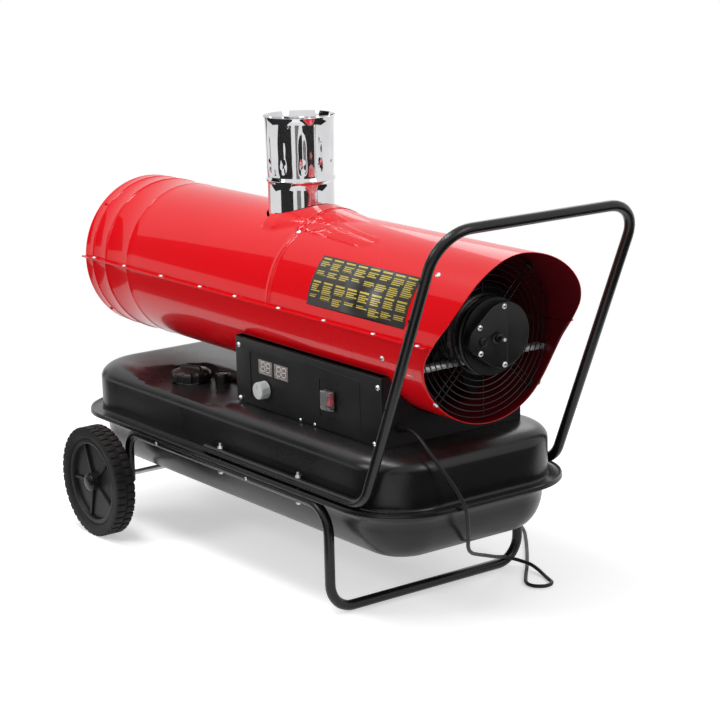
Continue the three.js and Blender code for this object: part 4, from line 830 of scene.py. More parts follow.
def bars_material():
    material, nodes, links = node_material("plate_bars")
    shader = nodes["Principled BSDF"]
    shader.inputs["Roughness"].default_value = 0.32
    place = nodes.new("ShaderNodeUVMap")
    place.uv_map = "plate"
    split = nodes.new("ShaderNodeSeparateXYZ")
    links.new(place.outputs["UV"], split.inputs[0])

    def math_node(operation, a, b=None, c=None):
        node = nodes.new("ShaderNodeMath")
        node.operation = operation
        for socket, value in zip(node.inputs, (a, b, c)):
            if value is None:
                continue
            if isinstance(value, (int, float)):
                socket.default_value = value
            else:
                links.new(value, socket)
        return node.outputs[0]

    def inside(value, low, high):
        return math_node("MULTIPLY", math_node("GREATER_THAN", value, low), math_node("LESS_THAN", value, high))

    across, down = split.outputs["X"], split.outputs["Y"]
    column = math_node("FRACT", math_node("MULTIPLY", across, 8.0))
    number = math_node("FLOOR", math_node("MULTIPLY", across, 8.0))
    line = math_node("FRACT", math_node("MULTIPLY", down, 26.0))
    which = math_node("FLOOR", math_node("MULTIPLY", down, 26.0))

    def chance(first, second):
        pick = nodes.new("ShaderNodeCombineXYZ")
        for socket, value in zip(pick.inputs, (first, second)):
            if isinstance(value, (int, float)):
                socket.default_value = value
            else:
                links.new(value, socket)
        spread = nodes.new("ShaderNodeTexWhiteNoise")
        spread.noise_dimensions = "2D"
        links.new(pick.outputs[0], spread.inputs["Vector"])
        return spread.outputs["Value"]

    reach = math_node("MULTIPLY_ADD", chance(number, which), 0.34, 0.60)
    rows = math_node("MULTIPLY", inside(line, 0.22, 0.76),
                     math_node("MULTIPLY", math_node("GREATER_THAN", column, 0.07),
                               math_node("LESS_THAN", column, reach)))
    ink = math_node("MULTIPLY", inside(column, 0.05, 0.80),
                    math_node("ADD", inside(down, 0.04, 0.075), inside(down, 0.52, 0.555)))
    for band, (top, end, slack) in enumerate(((0.105, 0.23, 0.07), (0.31, 0.36, 0.13), (0.585, 0.70, 0.07),
                                              (0.785, 0.84, 0.12))):
        foot = math_node("MULTIPLY_ADD", chance(number, band + 0.5), slack, end)
        block_mask = math_node("MULTIPLY", math_node("GREATER_THAN", down, top), math_node("LESS_THAN", down, foot))
        ink = math_node("MAXIMUM", ink, math_node("MULTIPLY", rows, block_mask))
    ink = math_node("MULTIPLY", ink, inside(across, 0.02, 0.985))
    blend = nodes.new("ShaderNodeMix")
    blend.data_type = "RGBA"
    blend.inputs[6].default_value = (0.010, 0.009, 0.008, 1)
    blend.inputs[7].default_value = (0.58, 0.45, 0.05, 1)
    links.new(math_node("MULTIPLY", ink, 0.9), blend.inputs[0])
    links.new(blend.outputs[2], shader.inputs["Base Color"])
    return material


plate_bm = lathe([(RADIUS + 0.35, PLATE["x0"]), (RADIUS + 0.35, PLATE["x1"])], "x", (0, 0, AXIS_Z), steps=36,
                 start=PLATE["a0"], angle=PLATE["a1"] - PLATE["a0"])
if sum(f.normal.z for f in plate_bm.faces) < 0:
    bmesh.ops.reverse_faces(plate_bm, faces=plate_bm.faces)
uv = plate_bm.loops.layers.uv.new("plate")
for face in plate_bm.faces:
    for loop in face.loops:
        x, y, z = loop.vert.co
        angle = math.degrees(math.atan2(z - AXIS_Z, y))
        loop[uv].uv = ((x - PLATE["x0"]) / (PLATE["x1"] - PLATE["x0"]),
                       (angle - PLATE["a0"]) / (PLATE["a1"] - PLATE["a0"]))
plate = keep(plate_bm, "bar_plate", "heater", "black_plastic", ("instruction_plate",), material=bars_material())
foil = plate.modifiers.new("foil", "SOLIDIFY")
foil.thickness = 0.0004
foil.offset = 1

# %% [markdown]
# ## Fan end
# Behind the hood sits a wire guard of eight rings. A vertical wire and paired slanting wires
# carry them. The motor hangs in a bright strap, and the fuel and air pump closes its rear
# with a black cover. The rings are spun round sections, and the straight wires are tubes.

# %% Fan guard
GUARD_X, WIRE = 534, 1.15


def wire_ring(radius, thick=WIRE):
    section = [(radius + thick * math.cos(a), GUARD_X + thick * math.sin(a))
               for a in (k * math.pi / 4 for k in range(8))]
    return lathe(section, "x", (0, 0, AXIS_Z), steps=72, closed=True)


def guard_point(radius, angle, x=GUARD_X - 2.6):
    a = math.radians(angle)
    return (x, radius * math.cos(a), AXIS_Z + radius * math.sin(a))


wires = [wire_ring(168 - 12.4 * k) for k in range(8)]
for base in (45, 135, 225, 315):
    for side in (-3.2, 3.2):
        wires.append(tube([guard_point(80, base + side * 1.6), guard_point(170, base + side * 0.75)], WIRE))
for base in (90, 270):
    wires.append(tube([guard_point(80, base), guard_point(170, base)], WIRE))
wires.append(wire_ring(78.5, 2.2))
for base in (45, 135, 225, 315):
    lug = block(GUARD_X - 6, GUARD_X + 2, -7, 7, 167, INNER - 1.4, 0.6, 1)
    bmesh.ops.rotate(lug, cent=(0, 0, 0), matrix=Matrix.Rotation(math.radians(base - 90), 3, "X"), verts=lug.verts)
    bmesh.ops.translate(lug, vec=(0, 0, AXIS_Z), verts=lug.verts)
    wires.append(lug)
keep(join(*wires), "guard_wires", "heater", "tube_paint", ("fan_guard",))

# %% [markdown]
# The fan has five broad blades. Each is a flat outline cut into strips. It is twisted more
# near the hub than at the tip, like a real moulded blade, and then given its thickness.

# %% Fan
def blade(turn_deg):
    bm = bmesh.new()
    outline = [(-22, 26), (-31, 70), (-34, 120), (-16, 158), (20, 164), (52, 156), (58, 120), (41, 70), (22, 26)]
    face = bm.faces.new([bm.verts.new((0, u, v)) for u, v in outline])
    bmesh.ops.bisect_plane(bm, geom=bm.verts[:] + bm.edges[:] + bm.faces[:], plane_co=(0, 0, 70), plane_no=(0, 0, 1))
    for cut in (48, 95, 120, 140):
        bmesh.ops.bisect_plane(bm, geom=bm.verts[:] + bm.edges[:] + bm.faces[:], plane_co=(0, 0, cut),
                               plane_no=(0, 0, 1))
    bmesh.ops.subdivide_edges(bm, edges=bm.edges, cuts=1, use_grid_fill=True)
    for vert in bm.verts:
        twist = math.radians(36 - 14 * (vert.co.z - 26) / 138)
        vert.co = Vector((vert.co.y * math.sin(twist), vert.co.y * math.cos(twist), vert.co.z))
    bmesh.ops.solidify(bm, geom=bm.faces[:], thickness=2.2)
    bmesh.ops.rotate(bm, cent=(0, 0, 0), matrix=Matrix.Rotation(math.radians(turn_deg), 3, "X"), verts=bm.verts)
    bmesh.ops.translate(bm, vec=(412, 0, AXIS_Z), verts=bm.verts)
    return bm


hub = lathe([(5.4, 392), (19, 392), (29, 398), (32, 406), (32, 432), (12, 434), (5.4, 434)], "x",
            (0, 0, AXIS_Z), steps=40, closed=True)
keep(join(hub, *[blade(k * 72) for k in range(5)]), "fan_wheel", "rotor", "fan_plastic", ("fan",))

# %% [markdown]
# The pump body is a turned black ring. Its black cover has a pear outline: a large arc
# and a small arc, pushed out and with rounded edges. The same outline, cut off straight on one
# side, makes the raised part with the four screws and the shaft boss.

# %% Pump body and cover
PUMP_X = 545.3
keep(lathe([(6, PUMP_X), (74, PUMP_X), (78.4, PUMP_X + 2), (78.8, PUMP_X + 8), (76, PUMP_X + 11), (76, PUMP_X + 15),
            (78.4, PUMP_X + 17), (77.6, PUMP_X + 20), (6, PUMP_X + 20)], "x", (0, 0, AXIS_Z), steps=72, closed=True),
     "pump_ring", "heater", "black_plastic", ("pump_body",))


def arc(y, z, radius, start, end, n):
    return [(y + radius * math.cos(a), z + radius * math.sin(a))
            for a in (math.radians(start + (end - start) * k / n) for k in range(n + 1))]


def pear(x, inset=0.0):
    outline = arc(13, 4, 67 - inset, -127.6, 127.6, 44) + arc(-46, 2, 31 - inset, 131.6, 228.4, 16)
    return [(x, y, AXIS_Z + z) for y, z in outline]


def pear_left(x, inset=0.0):
    outline = (arc(13, 4, 67 - inset, 84, 127.6, 10) + arc(-46, 2, 31 - inset, 131.6, 228.4, 16)
               + arc(13, 4, 67 - inset, 232.4, 276, 10))
    return [(x, y, AXIS_Z + z) for y, z in outline]


COVER_X = PUMP_X + 20.4
cover = prism(pear(COVER_X), (14.5, 0, 0))
front = [f for f in cover.faces if f.normal.x > 0.9]
rim_edges = [e for f in front for e in f.edges]
round_edges(cover, rim_edges, 3.0, 4)
field = prism(pear_left(COVER_X + 11, 0.4), (7.0, 0, 0))
round_edges(field, [e for f in field.faces if f.normal.x > 0.9 for e in f.edges], 1.6, 3)
boss = lathe([(0, 0), (13, 0), (11.5, 4), (9.5, 6), (9, 10), (5.2, 11), (5, 20), (3.5, 22), (0, 22)], "x",
             (COVER_X + 17, -8, AXIS_Z + 2), steps=32)
plug_boss = lathe([(0, 0), (9.5, 0), (9, 4), (6, 5), (5.6, 3.5), (0, 3.5)], "x",
                  (COVER_X + 17, -44, AXIS_Z - 2), steps=28)
keep(join(cover, field, boss, plug_boss), "pear_cover", "heater", "black_plastic", ("pump_cover",))
screws("cover_screws", [((COVER_X + 17.8, y, z), (1, 0, 0)) for y, z in
                        ((12, 644), (-50, 610), (-49, 558), (12, 527))], radius=6.2, height=3.2)
keep(lathe([(0, 0), (3.6, 0), (3.6, 5), (2.8, 6), (0, 6)], "x", (COVER_X + 38, -8, AXIS_Z + 2), steps=24),
     "shaft_end", "heater", "zinc_steel")

# %% [markdown]
# The motor is a turned drum with cooling bands, held by a strap from side to side.

# %% Motor and strap
grooves = []
for k in range(7):
    x = 462 + k * 11
    grooves += [(66, x), (66, x + 6), (63.5, x + 7), (63.5, x + 10)]
keep(lathe([(5.8, 444), (16, 444), (18, 452), (58, 452), (64, 456)] + grooves
           + [(66, 541), (60, 545), (5.8, 545)], "x", (0, 0, AXIS_Z), steps=56, closed=True),
     "motor_drum", "heater", "cast_aluminium", ("motor",))
strap_reach = 168.2
strap = [block(502, 524, side * 40 if side > 0 else -strap_reach, strap_reach if side > 0 else -40, 532.2, 534.6,
               0.5, 2) for side in (-1, 1)]
feet = [block(502, 524, side * strap_reach - 2.2 if side > 0 else -strap_reach,
              strap_reach if side > 0 else -strap_reach + 2.2, 519.5, 534.6, 0.5, 2) for side in (-1, 1)]
strap += [block(521.6, 524, side * 40 if side > 0 else -strap_reach + 6, strap_reach - 6 if side > 0 else -40,
                524.5, 534.4, 0.5, 2) for side in (-1, 1)]
clamp = lathe([(66.4, 502), (68.6, 502), (68.6, 524), (66.4, 524)], "x", (0, 0, AXIS_Z), steps=56, closed=True)
keep(join(clamp, *strap, *feet), "motor_strap", "heater", "zinc_steel", ("motor_bracket",))

# %% [markdown]
# ## Fuel tank
# Two deep-drawn pans are welded at a flange. Each pan starts as one rounded outline. Its edge
# is extruded ring by ring: every point knows its own way out of the outline, and its own
# place on the tank's middle line. So the wall can lean, round over and close flat. The tray
# for the filler is pressed in last, by lowering the points that lie inside its outline.

# %% Tank pans
TANK = {"x0": -660, "x1": 531, "y": 238, "corner": 123}


def outline_ring(bm, z, per_corner=20, per_side=26):
    """A rounded rectangle of edges, from a bevelled grid face, with points along its sides."""
    bmesh.ops.create_grid(bm, x_segments=1, y_segments=1, size=0.5)
    bmesh.ops.scale(bm, vec=(TANK["x1"] - TANK["x0"], 2 * TANK["y"], 1), verts=bm.verts)
    bmesh.ops.translate(bm, vec=((TANK["x1"] + TANK["x0"]) / 2, 0, z), verts=bm.verts)
    bmesh.ops.bevel(bm, geom=bm.verts[:], offset=TANK["corner"], offset_type="OFFSET", affect="VERTICES",
                    segments=per_corner, profile=0.5, material=-1)
    long_edges = [e for e in bm.edges if e.calc_length() > 60]
    bmesh.ops.subdivide_edges(bm, edges=long_edges, cuts=per_side)
    bmesh.ops.delete(bm, geom=bm.faces[:], context="FACES_ONLY")
    return bm.edges[:]


def way_out(point):
    inner_x = min(max(point.x, TANK["x0"] + TANK["corner"]), TANK["x1"] - TANK["corner"])
    inner_y = min(max(point.y, -TANK["y"] + TANK["corner"]), TANK["y"] - TANK["corner"])
    return (point - Vector((inner_x, inner_y, point.z))).normalized()


def middle(point):
    return Vector((min(max(point.x, TANK["x0"] + TANK["y"]), TANK["x1"] - TANK["y"]), 0, 0))


def pan(steps, close_z, closing):
    bm = bmesh.new()
    edges = outline_ring(bm, steps[0][1])
    base = {v: (v.co.copy(), way_out(v.co)) for v in bm.verts}
    for vert, (place, out) in base.items():
        vert.co = place - out * steps[0][0]
    rings = [(inset, z, None) for inset, z in steps[1:]] + [(steps[-1][0], close_z, t) for t in closing]
    for inset, z, t in rings:
        grown = bmesh.ops.extrude_edge_only(bm, edges=edges)["geom"]
        new_verts = [g for g in grown if isinstance(g, bmesh.types.BMVert)]
        old = list({v for e in edges for v in e.verts})
        edges = [g for g in grown if isinstance(g, bmesh.types.BMEdge)
                 and all(v in set(new_verts) for v in g.verts)]
        partner = {}
        for vert in old:
            for edge in vert.link_edges:
                other = edge.other_vert(vert)
                if other in new_verts:
                    partner[other] = vert
        fresh = {}
        for vert, source in partner.items():
            place, out = base[source]
            at = place - out * inset
            if t is not None:
                at = at.lerp(middle(place), t)
            vert.co = Vector((at.x, at.y, z))
            fresh[vert] = (place, out)
        base = fresh
    bmesh.ops.remove_doubles(bm, verts=bm.verts, dist=0.05)
    bmesh.ops.recalc_face_normals(bm, faces=bm.faces)
    return bm


def rounding(inset, width, z, height, count):
    return [(inset + width * (1 - math.cos(a)), z + height * math.sin(a))
            for a in (math.radians(90 * k / count) for k in range(count + 1))]


def press_tray(bm, floor_z=340.0):
    for vert in bm.verts:
        x, y, z = vert.co
        dx = abs(x + 264) - (172 - 58)
        dy = abs(y + 137) - (95 - 58)
        away = math.hypot(max(dx, 0), max(dy, 0)) + min(max(dx, dy), 0) - 58
        t = min(1.0, max(0.0, (away + 12) / 15))
        limit = floor_z + (357 - floor_z) * t * t * (3 - 2 * t) if away < 3 else 400
        if z > limit:
            vert.co.z = limit
    return bm


upper = pan([(-29.2, 244.0), (-29.6, 246.6), (-28.6, 249.6), (-26.6, 250.3), (-24.6, 249.4), (-23.2, 247.2),
             (-21, 246.7), (-6, 246.7), (-2, 247.4), (-0.3, 249.6), (0, 254), (0, 275), (0, 300)]
            + rounding(0, 54, 323, 34, 12), 357, [k / 26 for k in range(1, 27)])
press_tray(upper)
if sum(f.normal.z for f in upper.faces) < 0:
    bmesh.ops.reverse_faces(upper, faces=upper.faces)
tank_top = keep(upper, "tank_top", "heater", "tank_paint", ("tank_upper",), crease=50)
lower = pan([(-29.6, 243.3), (-29.8, 241.4), (-29, 240.4), (-4, 240.4), (-1, 239.6), (0.6, 236), (1.6, 228),
             (6, 222)] + [(12 + inset, z) for inset, z in
                          [(66 * (1 - math.cos(a)), 213 - 82 * math.sin(a))
                           for a in (math.radians(9 * k) for k in range(11))]],
            131, [k / 8 for k in range(1, 9)])
if sum(f.normal.z for f in lower.faces) > 0:
    bmesh.ops.reverse_faces(lower, faces=lower.faces)
keep(lower, "tank_low", "heater", "tank_paint", ("tank_lower",), crease=50)
carve(tank_top, join(*[lathe([(0, 0), (3.6, 0), (3.6, 400), (0, 400)], "z", (x, y, 0), steps=16)
                       for x in (-51, 238) for y in (-250, 250)]))

# %% [markdown]
# ## Handle, frame and bolts
# Bent steel tube, 22 mm across. The path is straight runs joined by true arcs, and a curve
# with a round bevel sweeps it. Long bolts clamp handle, tank flange and frame together.

# %% Tubes
SIDE = 250
handle = rounded_path([(-107, -SIDE, 258), (460, -SIDE, 258, 60), (709, -SIDE, 837, 78), (709, SIDE, 837, 78),
                       (460, SIDE, 258, 60), (-107, SIDE, 258)])
keep(tube(handle, 10.9), "push_handle", "heater", "tube_paint", ("handle_tube",))
foot = rounded_path([(-438, -SIDE, 109.5), (-438, -SIDE, 229.1, 45), (341, -SIDE, 229.1, 60), (341, -SIDE, 11, 55),
                     (341, SIDE, 11, 55), (341, SIDE, 229.1, 60), (-438, SIDE, 229.1, 45),
                     (-438, SIDE, 109.5)])
keep(tube(foot, 10.9), "foot_frame", "heater", "tube_paint", ("frame_tube",))
for number, (x, y) in enumerate([(-51, -SIDE), (238, -SIDE), (-51, SIDE), (238, SIDE)], 1):
    head = lathe([(0, 212.6), (4, 212.8), (6, 214.6), (6.1, 217.8), (3, 218), (3, 269), (3, 281), (0, 281.6)],
                 "z", (x, y, 0), steps=20)
    nut = lathe([(3, 269.2), (6.2, 269.2), (6.2, 270), (5.6, 270), (5.7, 274.4), (3, 274.8)], "z", (x, y, 0), steps=6)
    keep(join(head, nut), f"flange_bolt_{number}", "heater", "zinc_steel", (f"clamp_bolt_{number}",))
plain_bolts = [((x, side * 260.4, 229.1), (0, side, 0)) for x in (-300, 60) for side in (-1, 1)]
screws("rail_screws", plain_bolts, radius=4.2, height=2.2)
uprights = [((516, side * 261, 402), (0, side, 0)) for side in (-1, 1)]
screws("handle_screws", uprights, radius=4.4, height=2.6)
# Three thin dark discs on the near upright stand for holes in the tube. Their black is painted shade, the shade inside
# the holes.
hole_shade_spots = [lathe([(0, 0), (3.4, 0), (3.4, 0.4), (0, 0.4)], "y", (x, -261.1, z), steps=18)
         for x, z in ((666, 742), (631, 662), (551, 476))]
keep(join(*hole_shade_spots), "tube_hole_shade", "heater", "cord_rubber")

# %% [markdown]
# ## Wheels
# A moulded disc with five pockets carries a rubber tyre. The disc starts as a flat ring
# spun in three-degree steps. The faces of the pockets are deleted, the rest is thickened and
# rounded, and a thin web covers the pockets on the outer side. Rim, hub and ribs are turned
# and joined on. The tread is a ring of small blocks.

# %% Wheel discs and tyres
WHEEL_X, WHEEL_Z, WHEEL_Y = -438, 127, 335


def wheel_disc(side):
    y = side * WHEEL_Y
    bm = lathe([(r, -5) for r in (20, 28, 34, 44, 60, 72, 80, 86)], "y", (0, 0, 0), steps=120)
    gone = []
    for face in bm.faces:
        centre = face.calc_center_median()
        r = math.hypot(centre.x, centre.z)
        a = (math.degrees(math.atan2(centre.z, centre.x)) + 4) % 72
        spread = abs(a - 36) * math.radians(1) * r
        limit = min(36 * math.radians(1) * r - 12.0, 24.5 - max(0, r - 66) * 0.35)
        if 36 < r < 79 and spread < limit:
            gone.append(face)
    bmesh.ops.delete(bm, geom=gone, context="FACES")
    grown = bmesh.ops.extrude_face_region(bm, geom=bm.faces[:])["geom"]
    bmesh.ops.translate(bm, vec=(0, 10, 0), verts=[g for g in grown if isinstance(g, bmesh.types.BMVert)])
    bmesh.ops.recalc_face_normals(bm, faces=bm.faces)
    corner = [e for e in bm.edges if len(e.link_faces) == 2 and e.calc_face_angle(0) > 1.2
              and 35 < math.hypot(*(e.verts[0].co + e.verts[1].co).xz / 2) < 80]
    round_edges(bm, corner, 2.2, 2)
    rim = lathe([(84, -6), (88, -17), (93, -18.4), (98, -17), (98.6, -14), (98.6, 14), (98, 17), (93, 18.4), (88, 17),
                 (84, 6)], "y", (0, 0, 0), steps=72, closed=True)
    hub = lathe([(6.2, -23), (17, -23), (19.5, -21.5), (20, -19), (21, -5), (21, 5), (20, 19), (18, 21), (6.2, 21)],
                "y", (0, 0, 0), steps=48, closed=True)
    ribs = []
    for k in range(5):
        rib = block(20, 86, 2, 14, -3.5, 3.5, 1.2, 2)
        bmesh.ops.rotate(rib, cent=(0, 0, 0), matrix=Matrix.Rotation(math.radians(4 - 72 * k), 3, "Y"),
                         verts=rib.verts)
        ribs.append(rib)
    web = lathe([(18, 6.5), (86, 6.5), (86, 9), (18, 9)], "y", (0, 0, 0), steps=72, closed=True)
    whole = join(bm, rim, hub, web, *ribs)
    if side < 0:
        bmesh.ops.rotate(whole, cent=(0, 0, 0), matrix=Matrix.Rotation(math.pi, 3, "Z"), verts=whole.verts)
    bmesh.ops.translate(whole, vec=(WHEEL_X, y, WHEEL_Z), verts=whole.verts)
    return whole


def tyre(side):
    y = side * WHEEL_Y
    carcass = lathe([(98.9, -16), (102, -20.5), (108, -22.4), (115, -22.9), (121.5, -22.6), (123.4, -20), (123.8, -12),
                     (124, 0), (123.8, 12), (123.4, 20), (121.5, 22.6), (115, 22.9), (108, 22.4), (102, 20.5),
                     (98.9, 16)], "y", (0, 0, 0), steps=96, closed=True)
    lugs = []
    for k in range(44):
        for row in (-1, 1):
            lug = block(-6.9, 6.9, 2.2 if row > 0 else -22.0, 22.0 if row > 0 else -2.2, 118.5, 126.4, 1.3, 2)
            bmesh.ops.rotate(lug, cent=(0, 0, 0),
                             matrix=Matrix.Rotation(math.radians(360 / 44 * (k + (0.5 if row > 0 else 0))), 3, "Y"),
                             verts=lug.verts)
            lugs.append(lug)
    whole = join(carcass, *lugs)
    bmesh.ops.translate(whole, vec=(WHEEL_X, y, WHEEL_Z), verts=whole.verts)
    return whole


for side, word in ((-1, "near"), (1, "far")):
    turn_body = f"wheel_{word}_turn"
    keep(wheel_disc(side), f"disc_{word}", turn_body, "wheel_plastic", (f"wheel_{word}",))
    keep(tyre(side), f"rubber_{word}", turn_body, "tyre_rubber", (f"tyre_{word}",), crease=28)
    face_y = side * (WHEEL_Y + 21.3)
    hub_cap = lathe([(0, 8.6), (9, 8.4), (15, 7.4), (19, 5.6), (21.4, 3), (21.6, 0.3), (0, 0.3)], "z",
                    (0, 0, 0), steps=40)
    keep(turned_to(hub_cap, (0, side, 0), (WHEEL_X, face_y, WHEEL_Z)), f"cap_{word}", turn_body, "hub_plastic",
         (f"hub_cap_{word}",))

# %% [markdown]
# ## Control panel
# The panel is a folded plate with two shallow fields pressed in, one for the displays and the
# knob, one for the switch. It is a bevelled block, and boolean cuts press the fields and open
# the windows. A fine raised step runs beside the switch, as on the real plate.

# %% Panel plate
FACE_Y = -180


def field(x0, x1, z0, z1, deep, corner=2.0):
    bm = block(x0, x1, FACE_Y - 6, FACE_Y + deep, z0, z1)
    tall = [e for e in bm.edges if abs((e.verts[0].co - e.verts[1].co).y) > 1]
    return round_edges(bm, tall, corner, 4)


panel = keep(block(-83, 435, FACE_Y, FACE_Y + 2.7, 358.3, 502, 1.0, 3), "panel_plate", "heater", "box_paint",
             ("control_panel",))
carve(panel, field(-29, 139, 376, 478, 1.1, 5))
carve(panel, field(224, 300, 386, 464, 1.1, 4))
carve(panel, join(field(2, 53, 433.5, 465.5, 20, 1), field(60, 111, 433.5, 465.5, 20, 1),
                  field(246.5, 277.5, 406.5, 444.5, 20, 1)))
step_points = [(162, FACE_Y - 0.1, 490), (361, FACE_Y - 0.1, 484), (364, FACE_Y - 0.1, 372)]
keep(tube(rounded_path([(*step_points[0],), (*step_points[1], 8), (*step_points[2],)]), 0.9), "panel_step",
     "heater", "box_paint")
keep(join(block(-83, 435, -177, 60, 502.2, 504, 0.6, 2)), "panel_lip", "heater", "tank_paint")
screws("panel_screws", [((x, FACE_Y, z), (0, -1, 0)) for x, z in ((-70, 484), (-70, 366), (424, 482), (424, 368))],
       radius=6.0, height=4.6)
screws("small_panel_screws", [((x, FACE_Y, 362), (0, -1, 0)) for x in (154, 205)], radius=3.6, height=2.6)

# %% [markdown]
# Each display window holds two seven-segment digits. All segments of such a digit show
# faintly through the window when it is off. They are plain numbers, so they may be drawn.

# %% Displays
def digit(x, z, wide=14.0, tall=20.0, thick=2.3):
    y0, y1 = FACE_Y + 0.15, FACE_Y + 0.75
    half = tall / 2
    bars = [block(x - wide / 2 + 1, x + wide / 2 - 1, y0, y1, z + h - thick / 2, z + h + thick / 2, 0.5, 1)
            for h in (-half, 0, half)]
    bars += [block(x + s * wide / 2 - thick / 2, x + s * wide / 2 + thick / 2, y0, y1, z + a, z + b, 0.5, 1)
             for s in (-1, 1) for a, b in ((-half + 1.4, -1.2), (1.2, half - 1.4))]
    for bar in bars:
        bmesh.ops.transform(bar, matrix=Matrix(((1, 0, 0.10, -0.10 * z), (0, 1, 0, 0), (0, 0, 1, 0), (0, 0, 0, 1))),
                            verts=bar.verts)
    return join(*bars)


for word, x0 in (("left", 2.3), ("right", 60.3)):
    keep(block(x0, x0 + 50.4, FACE_Y + 0.4, FACE_Y + 14, 433.8, 465.2, 0.6, 2), f"window_{word}", "heater",
         "display_plastic", (f"display_{word}",))
    keep(join(digit(x0 + 17, 451), digit(x0 + 36, 451),
              *[block(x0 + 8 + 4.4 * k, x0 + 10.4 + 4.4 * k, FACE_Y + 0.2, FACE_Y + 0.7, 436.2, 437.6)
                for k in range(9)]), f"digits_{word}", "heater", "display_plastic", material=FINISH["digit"])

# %% [markdown]
# The knob is a short turned skirt with eight broad flats. The flats are cut into the lathe's
# points by pulling each one in to the side of an octagon with soft corners.

# %% Thermostat knob
knob = lathe([(0, 21.6), (15, 21.6), (17.4, 21.0), (18.4, 19.4), (18.8, 14), (19.0, 3), (19.0, 0.4),
              (12, 0.4), (0, 0.4)],
             "z", (0, 0, 0), steps=96)
for vert in knob.verts:
    r = math.hypot(vert.co.x, vert.co.y)
    if r > 12.5 and vert.co.z > 2:
        a = (math.atan2(vert.co.y, vert.co.x) + math.radians(22.5)) % (math.pi / 4) - math.pi / 8
        flat = 17.9 / math.cos(a)
        if r > flat:
            vert.co.x *= flat / r
            vert.co.y *= flat / r
pointer = block(-0.7, 0.7, 4, 15.5, 21.2, 21.9, 0.3, 1)
keep(turned_to(knob, (0, -1, 0), (28, FACE_Y - 0.9, 403)), "dial_knob", "thermostat_dial", "knob_plastic",
     ("thermostat_knob",))
pointer_bm = turned_to(pointer, (0, -1, 0), (28, FACE_Y - 0.9, 403))
keep(pointer_bm, "dial_mark", "thermostat_dial", "cast_aluminium")
keep(turned_to(lathe([(20.0, 0), (22.4, 0), (22.4, 0.6), (20.0, 0.6)], "z", (0, 0, 0), steps=48, closed=True),
               (0, -1, 0), (28, FACE_Y + 1.3, 403)), "dial_ring", "heater", "box_paint")

# %% [markdown]
# The rocker sits in a black frame. Its profile is a shallow V, pushed across and rounded. A
# clear splash shield stands over it: a thin box with its back open.

# %% Rocker and shield
ROCKER = Vector((262, FACE_Y + 5, 425.5))
v_shape = [(ROCKER.x - 10, FACE_Y + 4 + y * 0.9, ROCKER.z + z) for z, y in
           ((-13.2, 4), (13.2, 4), (13.2, -8), (6, -5.6), (0, -4.4), (-6, -5.6), (-13.2, -8))]
rocker = prism(v_shape, (20, 0, 0), 0.9, 2)
bmesh.ops.rotate(rocker, cent=ROCKER, matrix=Matrix.Rotation(math.radians(-7), 3, "X"), verts=rocker.verts)
keep(rocker, "rocker_key", "power_rocker", "switch_red", ("rocker",))
frame_bm = block(ROCKER.x - 17.5, ROCKER.x + 17.5, FACE_Y - 2.4, FACE_Y + 0.7, ROCKER.z - 21, ROCKER.z + 21, 1.0, 2)
bezel = keep(frame_bm, "rocker_bezel", "heater", "black_plastic", ("rocker_frame",))
carve(bezel, block(ROCKER.x - 11, ROCKER.x + 11, FACE_Y - 9, FACE_Y + 9, ROCKER.z - 15, ROCKER.z + 15, 0.8, 2))
keep(join(block(ROCKER.x - 14.5, ROCKER.x - 11.2, FACE_Y + 0.8, FACE_Y + 15.6, ROCKER.z - 18, ROCKER.z + 18, 0.5, 1),
          block(ROCKER.x + 11.2, ROCKER.x + 14.5, FACE_Y + 0.8, FACE_Y + 15.6, ROCKER.z - 18, ROCKER.z + 18, 0.5, 1),
          block(ROCKER.x - 14.5, ROCKER.x + 14.5, FACE_Y + 12.5, FACE_Y + 15.6, ROCKER.z - 18, ROCKER.z + 18, 0.5, 1)),
     "rocker_well", "heater", "black_plastic")
shield = block(ROCKER.x - 16.5, ROCKER.x + 16.5, FACE_Y - 15, FACE_Y - 2.7, ROCKER.z - 20, ROCKER.z + 20, 2.0, 3)
back_faces = [f for f in shield.faces if f.normal.y > 0.6]
bmesh.ops.delete(shield, geom=back_faces, context="FACES")
cover_obj = keep(shield, "splash_shield", "heater", "clear_shield", ("rocker_shield",))
thin = cover_obj.modifiers.new("wall", "SOLIDIFY")
thin.thickness = 0.0011
thin.offset = -1

# %% [markdown]
# ## Cord gland
# A moulded rubber sleeve with a hexagon nut keeps the cord from kinking. It is turned, with
# ribs that shrink toward its tip.

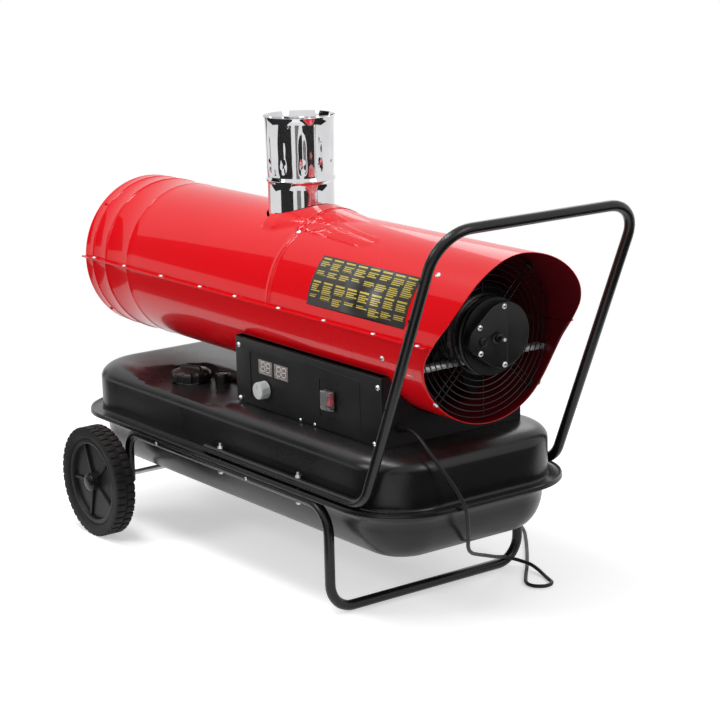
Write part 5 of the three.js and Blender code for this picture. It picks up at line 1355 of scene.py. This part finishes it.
# %% Gland
GLAND = (435, -135, 396)
sleeve = [(7.4, -8), (7.4, 0.5), (11, 0.5), (11, 5), (9.2, 5.4)]
for k in range(4):
    x, r = 6.4 + k * 3.8, 9.0 - k * 0.75
    sleeve += [(r, x), (r, x + 2.2), (r - 1.1, x + 2.5), (r - 1.1, x + 3.5)]
sleeve += [(5.6, 21.8), (4.1, 22), (4.1, -8)]
keep(lathe(sleeve, "x", GLAND, steps=36, closed=True), "cord_sleeve", "heater", "cord_rubber", ("cord_gland",))

# %% [markdown]
# ## Filler cap and gauge
# The cap has eight finger grooves round its skirt and a ridge across its low dome. A lathe
# makes skirt and dome, and a wave round the axis pulls the grooves in. The gauge beside it is
# a small turned head with a pale dial disc in its top.

# %% Filler cap
CAP_X, CAP_Y, CAP_Z = -358, -124, 343.3
cap = lathe([(38.5, 0), (44.6, 0), (46, 1.4), (46, 14), (45.4, 17), (43.6, 20), (40.4, 22), (34, 24.2),
             (20, 26.8), (8, 28),
             (0, 28.2), (0, 16.8), (38.5, 16.8)], "z", (CAP_X, CAP_Y, CAP_Z), steps=160, closed=True)
for vert in cap.verts:
    out = Vector((vert.co.x - CAP_X, vert.co.y - CAP_Y, 0))
    if out.length > 39.5 and vert.co.z > CAP_Z + 0.2:
        wave = max(0.0, -math.cos(8 * math.atan2(out.y, out.x)))
        vert.co -= out.normalized() * 4.2 * min(1.0, wave * 1.6)
ridge = block(-33, 33, -7.5, 7.5, 22, 33.6)
for vert in ridge.verts:
    if vert.co.z > 30:
        vert.co.x *= 0.74
        vert.co.y *= 0.62
round_edges(ridge, ridge.edges, 2.6, 3)
bmesh.ops.rotate(ridge, cent=(0, 0, 0), matrix=Matrix.Rotation(math.radians(20), 3, "Z"), verts=ridge.verts)
bmesh.ops.translate(ridge, vec=(CAP_X, CAP_Y, CAP_Z), verts=ridge.verts)
keep(join(cap, ridge), "lobed_cap", "cap_turner", "black_plastic", ("filler_cap",), crease=40)

# %% Level gauge
GAUGE = (-300, -76, 340)
keep(lathe([(0, -26), (8.8, -26), (8.8, 0.4), (18, 0.4), (18, 15), (17.4, 18), (16.2, 20.6), (15.2, 21.6), (14.2, 21.2),
            (14, 19), (0, 19)], "z", GAUGE, steps=56), "gauge_head", "heater", "black_plastic", ("level_gauge",))
keep(lathe([(0, 19.1), (13.8, 19.1), (13.8, 19.25), (0, 19.25)], "z", GAUGE, steps=40), "gauge_dial", "heater",
     "knob_plastic")

# %% Finish
print("pieces:", len(made))
